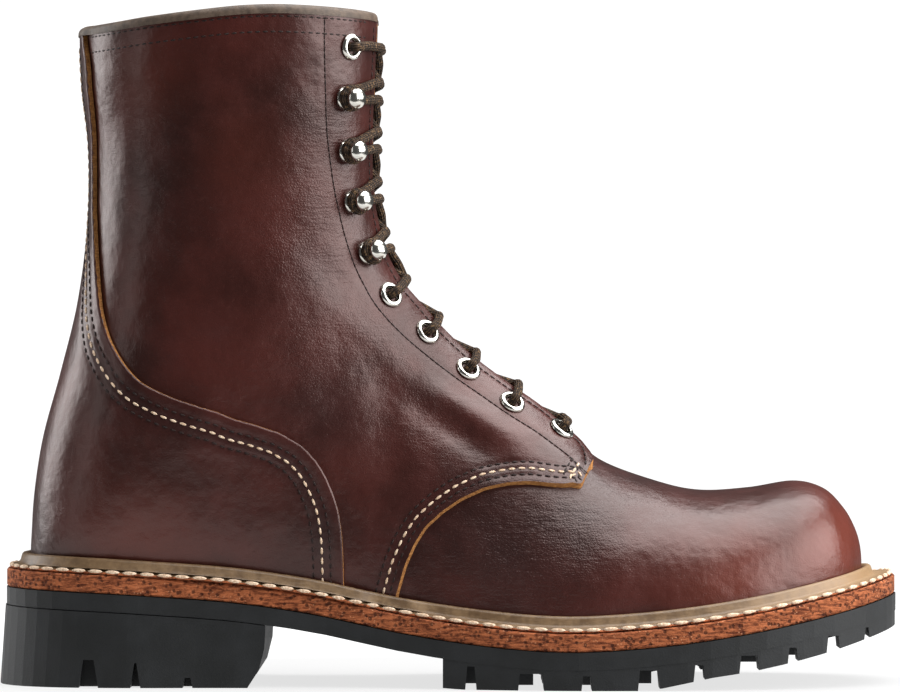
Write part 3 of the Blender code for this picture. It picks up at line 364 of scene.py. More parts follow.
class Field:
    """A shader socket that Python arithmetic works on: each operator adds one Math node."""

    def __init__(self, tree, socket):
        self.tree, self.socket = tree, socket

    def node(self, kind, settings=None, inputs=None, out=0):
        """Any other node, from its type, its settings and the values or links of its sockets."""
        made = self.tree.nodes.new(kind)
        for name, value in (settings or {}).items():
            setattr(made, name, value)
        for name, value in (inputs or {}).items():
            if isinstance(value, Field):
                self.tree.links.new(value.socket, made.inputs[name])
            else:
                made.inputs[name].default_value = value
        return Field(self.tree, made.outputs[out])

    def math(self, operation, *values):
        return self.node("ShaderNodeMath", {"operation": operation}, dict(enumerate((self, *values))))

    def __add__(self, other):
        return self.math("ADD", other)

    def __mul__(self, other):
        return self.math("MULTIPLY", other)

    def __sub__(self, other):
        return self.math("SUBTRACT", other)

    def __rsub__(self, other):
        return self * -1.0 + other

    __radd__, __rmul__ = __add__, __mul__

    def between(self, low, high):
        """Smooth step from 0 at low to 1 at high."""
        return self.node("ShaderNodeMapRange", {"interpolation_type": "SMOOTHSTEP", "clamp": True},
                         {"Value": self, "From Min": low, "From Max": high})

    def noise(self, scale, detail=2.0, rough=0.5):
        return self.node("ShaderNodeTexNoise", None,
                         {"Vector": self, "Scale": scale, "Detail": detail, "Roughness": rough})

    def cells(self, scale, feature="F1", out=0):
        return self.node("ShaderNodeTexVoronoi", {"feature": feature}, {"Vector": self, "Scale": scale}, out)

    def stretched(self, x, y, z):
        return self.node("ShaderNodeVectorMath", {"operation": "MULTIPLY"}, {0: self, 1: (x, y, z)})

    def painted(self, name):
        """A number painted on the mesh as an attribute."""
        return self.node("ShaderNodeAttribute", {"attribute_name": name}, None, 2)

    def tint(self, first, second):
        """Colour between two others, by this factor."""
        colours = [c if isinstance(c, Field) else (*c, 1) for c in (first, second)]
        return self.node("ShaderNodeMix", {"data_type": "RGBA"}, {0: self, 6: colours[0], 7: colours[1]}, 2)

    def bump(self, depth, strength=1.0, over=None):
        inputs = {"Height": self, "Strength": strength, "Distance": depth}
        if over is not None:
            inputs["Normal"] = over
        return self.node("ShaderNodeBump", None, inputs)


def finish(name, constants, recipe):
    """Principled material: constants set on its sockets, and what varies linked from a recipe."""
    made = bpy.data.materials.new(name)
    made.use_nodes = True
    tree = made.node_tree
    shader = tree.nodes["Principled BSDF"]
    for socket, value in constants.items():
        shader.inputs[socket].default_value = value
    where = Field(tree, tree.nodes.new("ShaderNodeTexCoord").outputs["Object"])
    for socket, field in recipe(where).items():
        tree.links.new(field.socket, shader.inputs[socket])
    return made


def srgb(red, green, blue):
    """Linear colour of an 8-bit screen colour."""
    return tuple(c / 255 / 12.92 if c < 10.3 else ((c / 255 + 0.055) / 1.055) ** 2.4
                 for c in (red, green, blue))


def pull_up_leather(where):
    """Oily brown leather: cloudy colour, fine grain, small wrinkles where it flexes, a waxy gloss."""
    clouds = where.noise(24, 3.0, 0.55)
    patches = where.noise(95, 3.0, 0.6)
    fine = where.noise(900, 2.0, 0.6)
    dark = where.painted("dark")
    red = where.painted("red")
    flex = where.painted("flex")
    colour = clouds.between(0.28, 0.74).tint(srgb(42, 18, 15), srgb(72, 31, 26))
    colour = (patches.between(0.42, 0.75) * 0.40).tint(colour, srgb(70, 33, 30))
    colour = red.tint(colour, srgb(122, 54, 38))
    # The dark attribute also holds the painted shade, mixed with a wax stain, in the band just above the
    # welt.
    colour = (dark * 0.85).tint(colour, srgb(30, 17, 17))
    colour = (fine.between(0.55, 0.85) * 0.12).tint(colour, srgb(112, 60, 50))
    pebbles = where.cells(900, "DISTANCE_TO_EDGE").between(0.0, 0.25)
    wrinkles = where.stretched(0.17, 0.17, 1.0).noise(760, 3.0, 0.6)
    pores = where.cells(1500).between(0.05, 0.45)
    height = pebbles * (flex * 0.16 + 0.03) + wrinkles * (flex * 1.05 + 0.08) + pores * 0.07
    normal = where.noise(62, 3.0, 0.55).bump(0.0022, 0.55)
    return {"Base Color": colour, "Roughness": (patches * 0.12 + fine * 0.12 + flex * 0.08) + 0.21,
            "Normal": height.bump(0.00040, 1.0, normal)}


leather = finish("brown_leather", {"Specular IOR Level": 0.50, "Specular Tint": (1.0, 0.80, 0.76, 1),
                                  "Coat Weight": 0.12, "Coat Roughness": 0.25}, pull_up_leather)


def raw_leather(where):
    """Cut edge of the leather: tan fibres along the edge."""
    fibres = where.stretched(1, 1, 2.5).noise(700, 4.0, 0.7)
    return {"Base Color": fibres.between(0.3, 0.7).tint(srgb(118, 74, 38), srgb(180, 126, 72)),
            "Normal": fibres.bump(0.0003, 0.8)}


raw_edge = finish("raw_leather_edge", {"Roughness": 0.85, "Specular IOR Level": 0.2}, raw_leather)


def lining_leather(where):
    grain = where.noise(300, 3.0, 0.6)
    return {"Base Color": grain.between(0.3, 0.7).tint(srgb(150, 108, 74), srgb(178, 132, 92)),
            "Roughness": grain * 0.2 + 0.55, "Normal": grain.bump(0.0002, 0.5)}


lining = finish("lining_leather", {"Specular IOR Level": 0.3}, lining_leather)

LACE_ROWS = (
    (0.627, 0.346), (0.568, 0.389), (0.514, 0.441), (0.464, 0.498), (0.419, 0.553), (0.389, 0.620),
    (0.372, 0.706), (0.366, 0.795), (0.364, 0.888), (0.371, 0.980),
)
FLAP_GAP = (
    (9.12, 0.273), (9.20, 0.190), (9.36, 0.132), (9.70, 0.098), (10.60, 0.084), (14.0, 0.082),
    (18.0, 0.092), (25.0, 0.108),
)
VAMP_SEAM = (
    (0.655, 0.246), (0.636, 0.250), (0.594, 0.254), (0.568, 0.250), (0.540, 0.238), (0.512, 0.215),
    (0.490, 0.189), (0.470, 0.158), (0.457, 0.125), (0.446, 0.086), (0.436, 0.032), (0.432, 0.000),
)
FLAP_ROW = FLAP_GAP[0][0]
# Heights over the seat are shares of the upper height: times this they are shares of the length.
HEIGHT_TO_LENGTH = 0.68


def gap_share(t, side):
    """Share of the half ring taken by the gap between the flaps."""
    rows, widths = np.array(FLAP_GAP).T
    return np.interp(t, rows, widths) * BALL_WIDTH / last.half_length(t, side)


seam_ways = [(0.0, FLAP_ROW)]
for point in VAMP_SEAM:
    row, v = last.locate(point)
    way = (v - gap_share(row, -1)) / (1 - gap_share(row, -1))
    if way > seam_ways[-1][0] + 0.01:
        seam_ways.append((float(way), float(row)))
seam_ways.append((1.2, seam_ways[-1][1]))


def evened(values, times):
    """The values with their ends kept and the rest averaged with their neighbours, some times over."""
    for _ in range(times):
        values[1:-1] = (values[:-2] + 2 * values[1:-1] + values[2:]) / 4
    return values


def seam_row(w):
    """Row of the quarter's front edge, by share of the way from flap to sole."""
    dense = np.linspace(0, 1.2, 241)
    rows = np.interp(dense, [p[0] for p in seam_ways], [p[1] for p in seam_ways])
    return np.interp(w, dense, evened(rows, 3))


def relief(points):
    """Hollows and swellings of the worn-in leather, as a lift along the normal."""
    u = share(points[..., 0])
    h = (points[..., 2] - seat(points[..., 0])) / UPPER_HEIGHT
    lift = np.zeros(u.shape)
    for (u0, h0), (u1, h1), width, depth in CREASES:
        du, dh = u1 - u0, (h1 - h0) * HEIGHT_TO_LENGTH
        along = np.clip(((u - u0) * du + (h - h0) * HEIGHT_TO_LENGTH * dh) / (du * du + dh * dh), 0, 1)
        away = np.hypot(u - u0 - along * du, (h - h0) * HEIGHT_TO_LENGTH - along * dh)
        lift -= depth * np.exp(-(away / width) ** 2) * np.sin(math.pi * (0.12 + 0.76 * along))
    return lift


CREASES = (
    # from, to (shares of length and height), width (share of length), depth
    ((0.470, 0.400), (0.581, 0.322), 0.016, -0.0016),
    ((0.428, 0.385), (0.557, 0.288), 0.018, 0.0014),
    ((0.404, 0.440), (0.425, 0.200), 0.022, 0.0009),
    ((0.300, 0.640), (0.395, 0.520), 0.022, 0.0006),
    ((0.700, 0.170), (0.770, 0.210), 0.016, 0.0005),
    ((0.350, 0.520), (0.440, 0.430), 0.018, -0.0006),
    ((0.120, 0.560), (0.210, 0.520), 0.030, 0.0006),
    ((0.150, 0.180), (0.260, 0.200), 0.035, 0.0005),
)
ZONES = {
    # centre (shares of length and height), reach (share of length), amount
    "dark": (((0.655, 0.200), 0.060, 0.80), ((0.570, 0.150), 0.085, 0.80), ((0.735, 0.215), 0.050, 0.45),
             ((0.500, 0.120), 0.060, 0.30), ((0.360, 0.330), 0.060, 0.45), ((0.330, 0.560), 0.050, 0.25),
             ((0.190, 0.720), 0.070, 0.25), ((0.020, 0.160), 0.045, 0.30), ((0.160, 0.180), 0.080, 0.15),
             ((0.905, 0.170), 0.030, 0.35)),
    "red": (((0.960, 0.080), 0.070, 0.55), ((0.850, 0.040), 0.080, 0.45), ((0.930, 0.160), 0.030, 0.20),
            ((0.120, 0.880), 0.060, 0.20), ((0.120, 0.060), 0.070, 0.20), ((0.240, 0.760), 0.060, 0.15)),
    "flex": (((0.640, 0.180), 0.070, 0.90), ((0.560, 0.120), 0.080, 0.70), ((0.330, 0.700), 0.045, 0.85),
             ((0.310, 0.600), 0.055, 0.75), ((0.340, 0.820), 0.035, 0.70), ((0.400, 0.480), 0.060, 0.60),
             ((0.330, 0.450), 0.060, 0.45), ((0.470, 0.330), 0.060, 0.45)),
}


def paint_zones(mesh, points, stain=None):
    """Writes the listed colour and grain zones on a mesh as attributes.

    The leather is also darker in a band where it meets the welt, painted shade mixed with a wax stain, and
    where a stain is given for the outer face.
    """
    u = share(points[:, 0])
    h = (points[:, 2] - seat(points[:, 0])) / UPPER_HEIGHT * HEIGHT_TO_LENGTH
    for name, spots in ZONES.items():
        value = np.zeros(len(points))
        for (u0, h0), spread, amount in spots:
            away = (u - u0) ** 2 + (h - h0 * HEIGHT_TO_LENGTH) ** 2
            value = np.maximum(value, amount * np.exp(-(away / spread**2)))
        if name == "dark":
            # Painted shade: a dark band along the foot of the upper, just above the welt, where the welt
            # shades the leather, mixed with a wax stain there.
            value = np.maximum(value, 0.75 * np.exp(-((h / 0.016) ** 2)))
            if stain is not None:
                value[:len(stain)] = np.maximum(value[:len(stain)], stain)
        mesh.attributes.new(name, "FLOAT", "POINT").data.foreach_set("value", value.astype(np.float32))


def shade_smooth(mesh, angle):
    """Smooth shading, apart from edges that are sharper than this angle."""
    mesh.polygons.foreach_set("use_smooth", np.ones(len(mesh.polygons), bool))
    mesh.set_sharp_from_angle(angle=math.radians(angle))


def shell(name, outer, inner, materials, stain=None):
    """Closed leather layer between two grids of points, its materials outside, at the edge and inside."""
    rows, columns = outer.shape[:2]
    count = rows * columns
    index = np.arange(count).reshape(rows, columns)
    quads = np.stack([index[:-1, :-1], index[:-1, 1:], index[1:, 1:], index[1:, :-1]], axis=-1).reshape(-1, 4)
    rim = np.concatenate([index[0, :-1], index[:-1, -1], index[-1, :0:-1], index[:0:-1, 0]])
    after = np.roll(rim, -1)
    walls = np.stack([after, rim, rim + count, after + count], axis=-1)
    faces = np.concatenate([quads, quads[:, ::-1] + count, walls])
    points = np.concatenate([outer.reshape(-1, 3), inner.reshape(-1, 3)])
    middle = points.mean(axis=0)
    a, b, c, d = (points[faces[:, k]] - middle for k in range(4))
    if (np.einsum("ij,ij->i", a, np.cross(b, c)) + np.einsum("ij,ij->i", a, np.cross(c, d))).sum() < 0:
        faces = faces[:, ::-1]
    mesh = bpy.data.meshes.new(name)
    mesh.from_pydata(points.tolist(), [], faces.tolist())
    for used in materials:
        mesh.materials.append(used)
    kinds = np.concatenate([np.zeros(len(quads)), np.full(len(quads), 2), np.ones(len(walls))])
    mesh.polygons.foreach_set("material_index", kinds.astype(np.int32))
    shade_smooth(mesh, 50)
    paint_zones(mesh, points, stain)
    return put(name, mesh)


def reach(points, line):
    """Distance from each point to the nearest point of a dense line."""
    flat = points.reshape(-1, 3)
    found = [np.sqrt(((part[:, None] - line[None]) ** 2).sum(axis=2).min(axis=1))
             for part in np.array_split(flat, max(1, len(flat) // 2000))]
    return np.concatenate(found).reshape(points.shape[:-1])


def rolled(distance, radius=0.0006):
    """Drop of a leather edge that is rounded over by wear."""
    inside = np.clip(1 - distance / radius, 0, 1)
    return radius * (1 - np.sqrt(np.maximum(1 - inside**2, 0)))


def furrow(distance, middle, width=0.0010, depth=0.00024):
    """Small valley that a row of stitches pulls into the leather."""
    return -depth * np.exp(-((distance - middle) / width) ** 2)


def with_close_steps(count, near):
    """Even shares from 0 to 1, with extra ones close to the first end."""
    return np.unique(np.concatenate([np.linspace(0, 1, count), near]))


FOOT_ROWS = np.linspace(0, 25, 501)
FOOT = {side: last.foot_share(FOOT_ROWS, side, 0.0006) for side in (-1, 1)}


def foot(t, side):
    """Share of the half ring at which the leather goes down behind the welt."""
    return np.interp(t, FOOT_ROWS, FOOT[side])


def seam_start(way, side, behind=0.0):
    """Row of the front seam on a line that is this share of the way from flap to foot."""
    t = np.full(np.shape(way), 11.5)
    for _ in range(60):
        gap = gap_share(t, side)
        whole = way * (foot(t, side) - gap) / (1 - gap)
        t = 0.5 * t + 0.5 * (seam_row(whole) + behind)
    return t


# The vamp runs on for this many rows under the quarters, and in the middle it ends at this row.
VAMP_OVERLAP = 0.9
THROAT_ROW = 9.75
vamp_steps = np.concatenate([np.linspace(0, 0.12, 18)[:-1], np.linspace(0.12, 1, 110)])
vamp_columns = np.linspace(-1, 1, 221)


def vamp_grid(lift):
    """Vamp from the toe tip back: to the throat in the middle, and under the quarters at the sides."""
    columns = []
    for a in vamp_columns:
        side = -1 if a < 0 else 1
        t = THROAT_ROW
        for _ in range(60):
            gap = float(gap_share(t, side))
            whole = max(0.0, (abs(a) * float(foot(t, side)) - gap) / (1 - gap))
            t = 0.5 * t + 0.5 * max(THROAT_ROW, float(seam_row(whole)) + VAMP_OVERLAP)
        rows = t * vamp_steps
        v = a * foot(rows, side)
        points = last.at(rows, v)
        columns.append(points + last.normal(rows, v) * (relief(points) + lift)[..., None])
    return np.array(columns)


vamp = shell("vamp", vamp_grid(0.0), vamp_grid(-WALL), (leather, raw_edge, lining))
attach(vamp, "root")

# Quarters: the two sides of the boot in the same leather, stitched over the vamp and cut to a
# flap on each side of the tongue. Their front edge is left raw, and stands up as a tan line.
COLLAR_LINE = (
    (-0.100, 0.950), (0.026, 0.954), (0.082, 0.960), (0.138, 0.975), (0.194, 0.990), (0.254, 1.007),
    (0.282, 1.014), (0.340, 1.026), (0.398, 1.040), (0.433, 1.048), (0.600, 1.090),
)
# Distances of the three rows of thread from the raw edge, the cream one in the middle, and of the
# single dark row from the flap edge.
SEAM_THREADS = (0.0034, 0.0057, 0.0083)
FLAP_THREAD = 0.0040
FACING_LINE = (
    # inner dark row of the eyelet facing, in shares of length and height
    (0.3415, 1.018), (0.3415, 0.9125), (0.3430, 0.8248), (0.3495, 0.7474), (0.3590, 0.6796),
    (0.3735, 0.6062), (0.3895, 0.5620), (0.4070, 0.5260), (0.4310, 0.4930), (0.4716, 0.4515),
    (0.5197, 0.4085), (0.5678, 0.3650), (0.6099, 0.3300), (0.6352, 0.3030), (0.6580, 0.2700),
)


def collar_z(x):
    return seat(x) + UPPER_HEIGHT * curve(share(x), COLLAR_LINE)


COLLAR_SHARES = np.linspace(-1, 1, 241)
COLLAR_ROWS = []
# The collar is looked for from this fine row of the last upwards, well below it all round.
LOW_ROW = 500
for v in COLLAR_SHARES:
    line = last.at(last.t[LOW_ROW:], np.full(len(last.t) - LOW_ROW, v))
    over = line[:, 2] - collar_z(line[:, 0])
    k = int(np.nonzero(over < 0)[0][-1])
    COLLAR_ROWS.append(last.t[LOW_ROW + k] + over[k] / (over[k] - over[k + 1]) / last.steps)


def collar_row(v):
    return np.interp(v, COLLAR_SHARES, COLLAR_ROWS)


def seam_edge(side, count=500):
    """Front edge of a quarter, from the flap corner to the foot, as rows and shares."""
    way = np.linspace(0, 1, count)
    t = seam_start(way, side)
    gap = gap_share(t, side)
    return t, side * (gap + way * (foot(t, side) - gap))


def flap_edge(side, count=500):
    """Edge of the flap beside the laces, from the corner to the collar."""
    t = np.linspace(FLAP_ROW, float(collar_row(side * 0.13)), count)
    return t, side * gap_share(t, side)


def facing_edge(side, count=300):
    """Inner row of the eyelet facing, from the collar down to the seam."""
    found = np.array([last.locate(p) for p in FACING_LINE])
    way = np.linspace(0, len(found) - 1, count)
    t, v = (evened(np.interp(way, np.arange(len(found)), found[:, k]), 60) for k in range(2))
    t = np.minimum(t, collar_row(side * v) - 0.05)
    return t, side * v * last.half_length(t, -1) / last.half_length(t, side)


quarter_ways = with_close_steps(120, (0.0010, 0.0022, 0.0036, 0.006))
quarter_steps = with_close_steps(190, (0.0007, 0.0015, 0.0026, 0.004))


def quarter_grid(side, lift, shaped=True):
    """One quarter: lines from the front seam up to the collar, from the flap edge to the foot and heel."""
    grid = []
    # The cut edge slopes, most of all at the flap corner, so that its tan fibres show.
    firsts = seam_start(quarter_ways, side, (0.05 + 0.07 * (1 - quarter_ways) ** 2) * shaped)
    for way, first in zip(quarter_ways, firsts):
        top = float(collar_row(side * (0.13 + way * 0.87)))
        t = first + (top - first) * quarter_steps
        gap = gap_share(t, side)
        grid.append(np.stack([t, side * (gap + way * (foot(t, side) - gap))], axis=1))
    grid = np.array(grid)
    t, v = grid[..., 0], grid[..., 1]
    points = last.at(t, v)
    extra = relief(points)
    if shaped:
        from_seam = reach(points, last.at(*seam_edge(side)))
        from_flap = reach(points, last.at(*flap_edge(side)))
        from_facing = reach(points, last.at(*facing_edge(side)))
        extra = extra - rolled(np.minimum(from_seam, from_flap)) + furrow(from_flap, FLAP_THREAD)
        extra = extra + furrow(from_facing, 0.0)
        for middle in SEAM_THREADS:
            extra = extra + furrow(from_seam, middle)
    return points + last.normal(t, v) * (extra + lift)[..., None]


for side, side_name in ((-1, "outer"), (1, "inner")):
    outside = quarter_grid(side, QUARTER_STEP)
    inside = quarter_grid(side, -WALL + 0.0001, shaped=False)
    piece = shell(f"quarter_{side_name}", outside, inside, (leather, raw_edge, lining))
    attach(piece, "root")
    if side < 0:
        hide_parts("upper")

# Counter and backstay: one heavy leather piece round the heel that runs up the back to the
# collar. It is sewn down with three rows of thread, and its thick raw edge shows all along.
COUNTER_LINE = (
    (0.370, 0.000), (0.370, 0.034), (0.368, 0.094), (0.365, 0.138), (0.359, 0.176), (0.347, 0.213),
    (0.335, 0.238), (0.317, 0.262), (0.292, 0.278), (0.259, 0.288), (0.218, 0.302), (0.182, 0.313),
    (0.152, 0.326), (0.127, 0.342), (0.107, 0.374), (0.092, 0.413), (0.082, 0.469), (0.077, 0.563),
    (0.074, 0.653), (0.074, 0.730), (0.072, 0.818), (0.068, 0.900), (0.062, 0.960), (0.060, 1.020),
)
COUNTER_THREADS = (0.0043, 0.0072, 0.0102)
counter_found = np.array(sorted(last.locate(p) for p in COUNTER_LINE))
COUNTER_ROWS = np.linspace(counter_found[0, 0], 24.6, 400)
COUNTER_SHARES = evened(np.interp(COUNTER_ROWS, counter_found[:, 0], counter_found[:, 1]), 25)


def counter_share(t, side):
    """Share of the half ring at the counter's edge, with the same arc on both sides."""
    return np.interp(t, COUNTER_ROWS, COUNTER_SHARES) * last.half_length(t, -1) / last.half_length(t, side)


def counter_edge(side, count=600):
    top = float(collar_row(side * 0.93))
    t = np.linspace(COUNTER_ROWS[0] + 0.02, top, count)
    return t, side * np.minimum(counter_share(t, side), foot(t, side) - 0.0005)


counter_ways = with_close_steps(70, (0.004, 0.009, 0.016, 0.03))
counter_steps = np.linspace(0, 1, 220)


def thread_distance(t, distance):
    """Distance of a row of thread from the counter's edge: above the ankle it goes round the back."""
    high = np.clip((t - 20.3) / 1.1, 0, 1)
    return distance + 0.0030 * high * high * (3 - 2 * high)


def counter_half(side, lift, shaped=True):
    grid = []
    for way in counter_ways:
        first = COUNTER_ROWS[0] + 0.02
        top = float(collar_row(side * (0.93 + 0.07 * way)))
        t = first + (top - first) * counter_steps
        edge = np.minimum(counter_share(t, side), foot(t, side) - 0.0005)
        grid.append(np.stack([t, side * (edge + way * (foot(t, side) - edge))], axis=1))
    grid = np.array(grid)
    t, v = grid[..., 0], grid[..., 1]
    points = last.at(t, v)
    extra = relief(points)
    if shaped:
        near = reach(points, last.at(*counter_edge(side)))
        extra = extra - rolled(near, 0.0008)
        for middle in COUNTER_THREADS:
            extra = extra + furrow(near, thread_distance(t, middle))
    return points + last.normal(t, v) * (extra + lift)[..., None]


faces_of_counter = []
for level, shaped in ((COUNTER_LIFT, True), (COUNTER_UNDER, False)):
    outer_half, inner_half = counter_half(-1, level, shaped), counter_half(1, level, shaped)
    faces_of_counter.append(np.concatenate([outer_half, inner_half[::-1][1:]]))
counter_lines = np.concatenate([last.at(*counter_edge(side), COUNTER_LIFT) for side in (-1, 1)])
from_edge = reach(faces_of_counter[0].reshape(-1, 3), counter_lines)
counter = shell("counter_backstay_leather", *faces_of_counter, (leather, raw_edge, raw_edge),
                stain=0.62 * np.exp(-((from_edge - COUNTER_THREADS[1]) / 0.0045) ** 2))
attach(counter, "root")
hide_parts("counter_backstay")

# Tongue: softer brown leather under the laces, sewn to the vamp and free at the top.
TONGUE_THICKNESS = 0.0018
TONGUE_DEPTH = 0.0074


def soft_leather(where):
    grain = where.cells(620, "DISTANCE_TO_EDGE").between(0.0, 0.2)
    cloud = where.noise(60, 3.0, 0.6)
    return {"Base Color": cloud.between(0.3, 0.7).tint(srgb(58, 27, 22), srgb(92, 48, 40)),
            "Roughness": cloud * 0.15 + 0.48, "Normal": grain.bump(0.0003, 0.7)}


tongue_leather = finish("tongue_leather", {"Specular IOR Level": 0.4}, soft_leather)


def tongue_grid(depth):
    grid = []
    across = np.linspace(-1, 1, 49)
    for row in np.concatenate([np.linspace(8.6, 12, 30)[:-1], np.linspace(12, 23.2, 110)]):
        half = 0.026 + 0.008 * min(1.0, max(0.0, (row - 12) / 8))
        half *= math.sqrt(max(0.02, 1 - max(0.0, (row - 22.6) / 0.66) ** 4))
        sink = depth if row > 10 else WALL + 0.0006 + (depth - WALL - 0.0006) * (row - 8.6) / 1.4
        ends = [half / last.half_length(row, side) for side in (-1, 1)]
        v = np.where(across < 0, across * ends[0], across * ends[1])
        wave = 0.0004 * np.sin(row * 2.6) * (1 - across**2)
        grid.append(last.at(row, v, -sink + wave))
    return np.array(grid)


tongue = shell("tongue_leather_piece", tongue_grid(TONGUE_DEPTH),
               tongue_grid(TONGUE_DEPTH + TONGUE_THICKNESS), (tongue_leather, raw_edge, lining))
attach(tongue, "root")
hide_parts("tongue")

# Collar binding: a thin strip of taupe leather rolled over the cut top edge and sewn through.
BINDING_HEIGHT = 0.0030


def rolled_strip(where):
    grain = where.noise(420, 3.0, 0.6)
    return {"Base Color": grain.between(0.3, 0.7).tint(srgb(70, 57, 47), srgb(98, 82, 69)),
            "Roughness": grain * 0.2 + 0.45, "Normal": grain.bump(0.0002, 0.6)}


binding_leather = finish("binding_leather", {"Specular IOR Level": 0.4}, rolled_strip)


def tube_mesh(name, rings, material, loop=False, along=None):
    """Smooth closed tube through rings of points, with its run and turn kept as a UV map."""
    count, sides = rings.shape[:2]
    index = np.arange(count * sides).reshape(count, sides)
    onward = np.roll(index, -1, axis=0) if loop else index[1:]
    start = index if loop else index[:-1]
    turned, onward_turned = np.roll(start, -1, axis=1), np.roll(onward, -1, axis=1)
    quads = np.stack([start, turned, onward_turned, onward], axis=-1).reshape(-1, 4)
    points = rings.reshape(-1, 3)
    middle = rings.mean(axis=1)[:, None]
    outward = (rings - middle).reshape(-1, 3)
    a, b, d = (points[quads[:, k]] for k in (0, 1, 3))
    flipped = (np.cross(b - a, d - a) * outward[quads[:, 0]]).sum() < 0
    if flipped:
        quads = quads[:, ::-1]
    faces = quads.tolist()
    if not loop:
        near, far = index[0].tolist(), index[-1].tolist()
        faces += [near if flipped else near[::-1], far[::-1] if flipped else far]
    mesh = bpy.data.meshes.new(name)
    mesh.from_pydata(points.tolist(), [], faces)
    mesh.materials.append(material)
    shade_smooth(mesh, 60)
    if along is not None:
        run = np.repeat(along, sides)
        turn = np.tile(np.arange(sides) / sides, count)
        sheet = mesh.uv_layers.new(name="braid")
        corners = np.empty(len(mesh.loops), np.int32)
        mesh.loops.foreach_get("vertex_index", corners)
        uv = np.stack([turn[corners], run[corners]], axis=1)
        for poly in mesh.polygons:
            ids = list(poly.loop_indices)
            if len(ids) == 4 and uv[ids, 0].max() - uv[ids, 0].min() > 0.5:
                uv[ids, 0] = np.where(uv[ids, 0] < 0.5, uv[ids, 0] + 1, uv[ids, 0])
        sheet.data.foreach_set("uv", uv.reshape(-1))
    return put(name, mesh)


def binding_rings():
    rings = []
    gap = [float(gap_share(22.5, side)) + 0.0010 / 0.16 for side in (-1, 1)]
    ways = np.linspace(0, 1, 110)
    stations = [-(gap[0] + w * (1 - gap[0])) for w in ways]
    stations += [gap[1] + w * (1 - gap[1]) for w in ways[::-1]][1:]
    stay = float(np.interp(24, COUNTER_ROWS, COUNTER_SHARES))
    turns = np.linspace(0, math.pi, 13)
    for v in stations:
        row = float(collar_row(v))
        over_stay = min(1.0, max(0.0, (abs(v) - stay + 0.045) / 0.03))
        outer = QUARTER_STEP + 0.0004 + over_stay * (COUNTER_LIFT - QUARTER_STEP)
        inside = -WALL - 0.0004
        base, normal = last.at(row, v), last.normal(row, v)
        flat = np.array([normal[0], normal[1], 0])
        flat /= np.linalg.norm(flat)
        top = float(collar_z(base[0]))
        middle, half = (outer + inside) / 2, (outer - inside) / 2
        profile = [(inside, -0.0005)]
        profile += [(middle - half * math.cos(q), -0.0003 + (BINDING_HEIGHT + 0.0001) * math.sin(q) ** 0.7)
                    for q in turns]
        profile += [(outer, -0.0005)]
        rings.append([base + flat * d + np.array([0, 0, top + h - base[2]]) for d, h in profile])
    return np.array(rings)


binding = tube_mesh("collar_binding_strip", binding_rings(), binding_leather)
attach(binding, "root")
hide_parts("collar_binding")

# Threads: waxed cream and dark brown lockstitches along the seams. Each stitch is a short raised
# bead of thread that sinks into the leather at both ends. The sizes are length, width and height.
CREAM_STITCH = (0.0026, 0.00090, 0.00075)
DARK_STITCH = (0.0021, 0.00070, 0.00050)
FACING_STITCH = (0.0024, 0.00050, 0.00040)
# Distances from stitch to stitch.
CREAM_PITCH = 0.0034
DARK_PITCH = 0.0029
EDGE_PITCH = 0.0026
FACING_PITCH = 0.0023
# The seam rows end this far from the flap edge, and the two collar rows lie this far down.
FLAP_CLEARANCE = 0.0064
COLLAR_DROPS = (0.0013, 0.0066)
# Depths to which the rows are pulled into the leather.
TRIPLE_SINK = 0.00008
FLAP_SINK = 0.00012
SINGLE_SINK = 0.00010


def thread(name, low, high):
    def twisted(where):
        strand = where.noise(1500, 2.0, 0.5)
        return {"Base Color": strand.between(0.3, 0.7).tint(low, high), "Normal": strand.bump(0.0002, 0.5)}
    return finish(name, {"Roughness": 0.6, "Specular IOR Level": 0.3}, twisted)


cream_thread = thread("cream_thread", srgb(192, 158, 128), srgb(238, 216, 190))
dark_thread = thread("dark_thread", srgb(24, 13, 11), srgb(44, 25, 20))


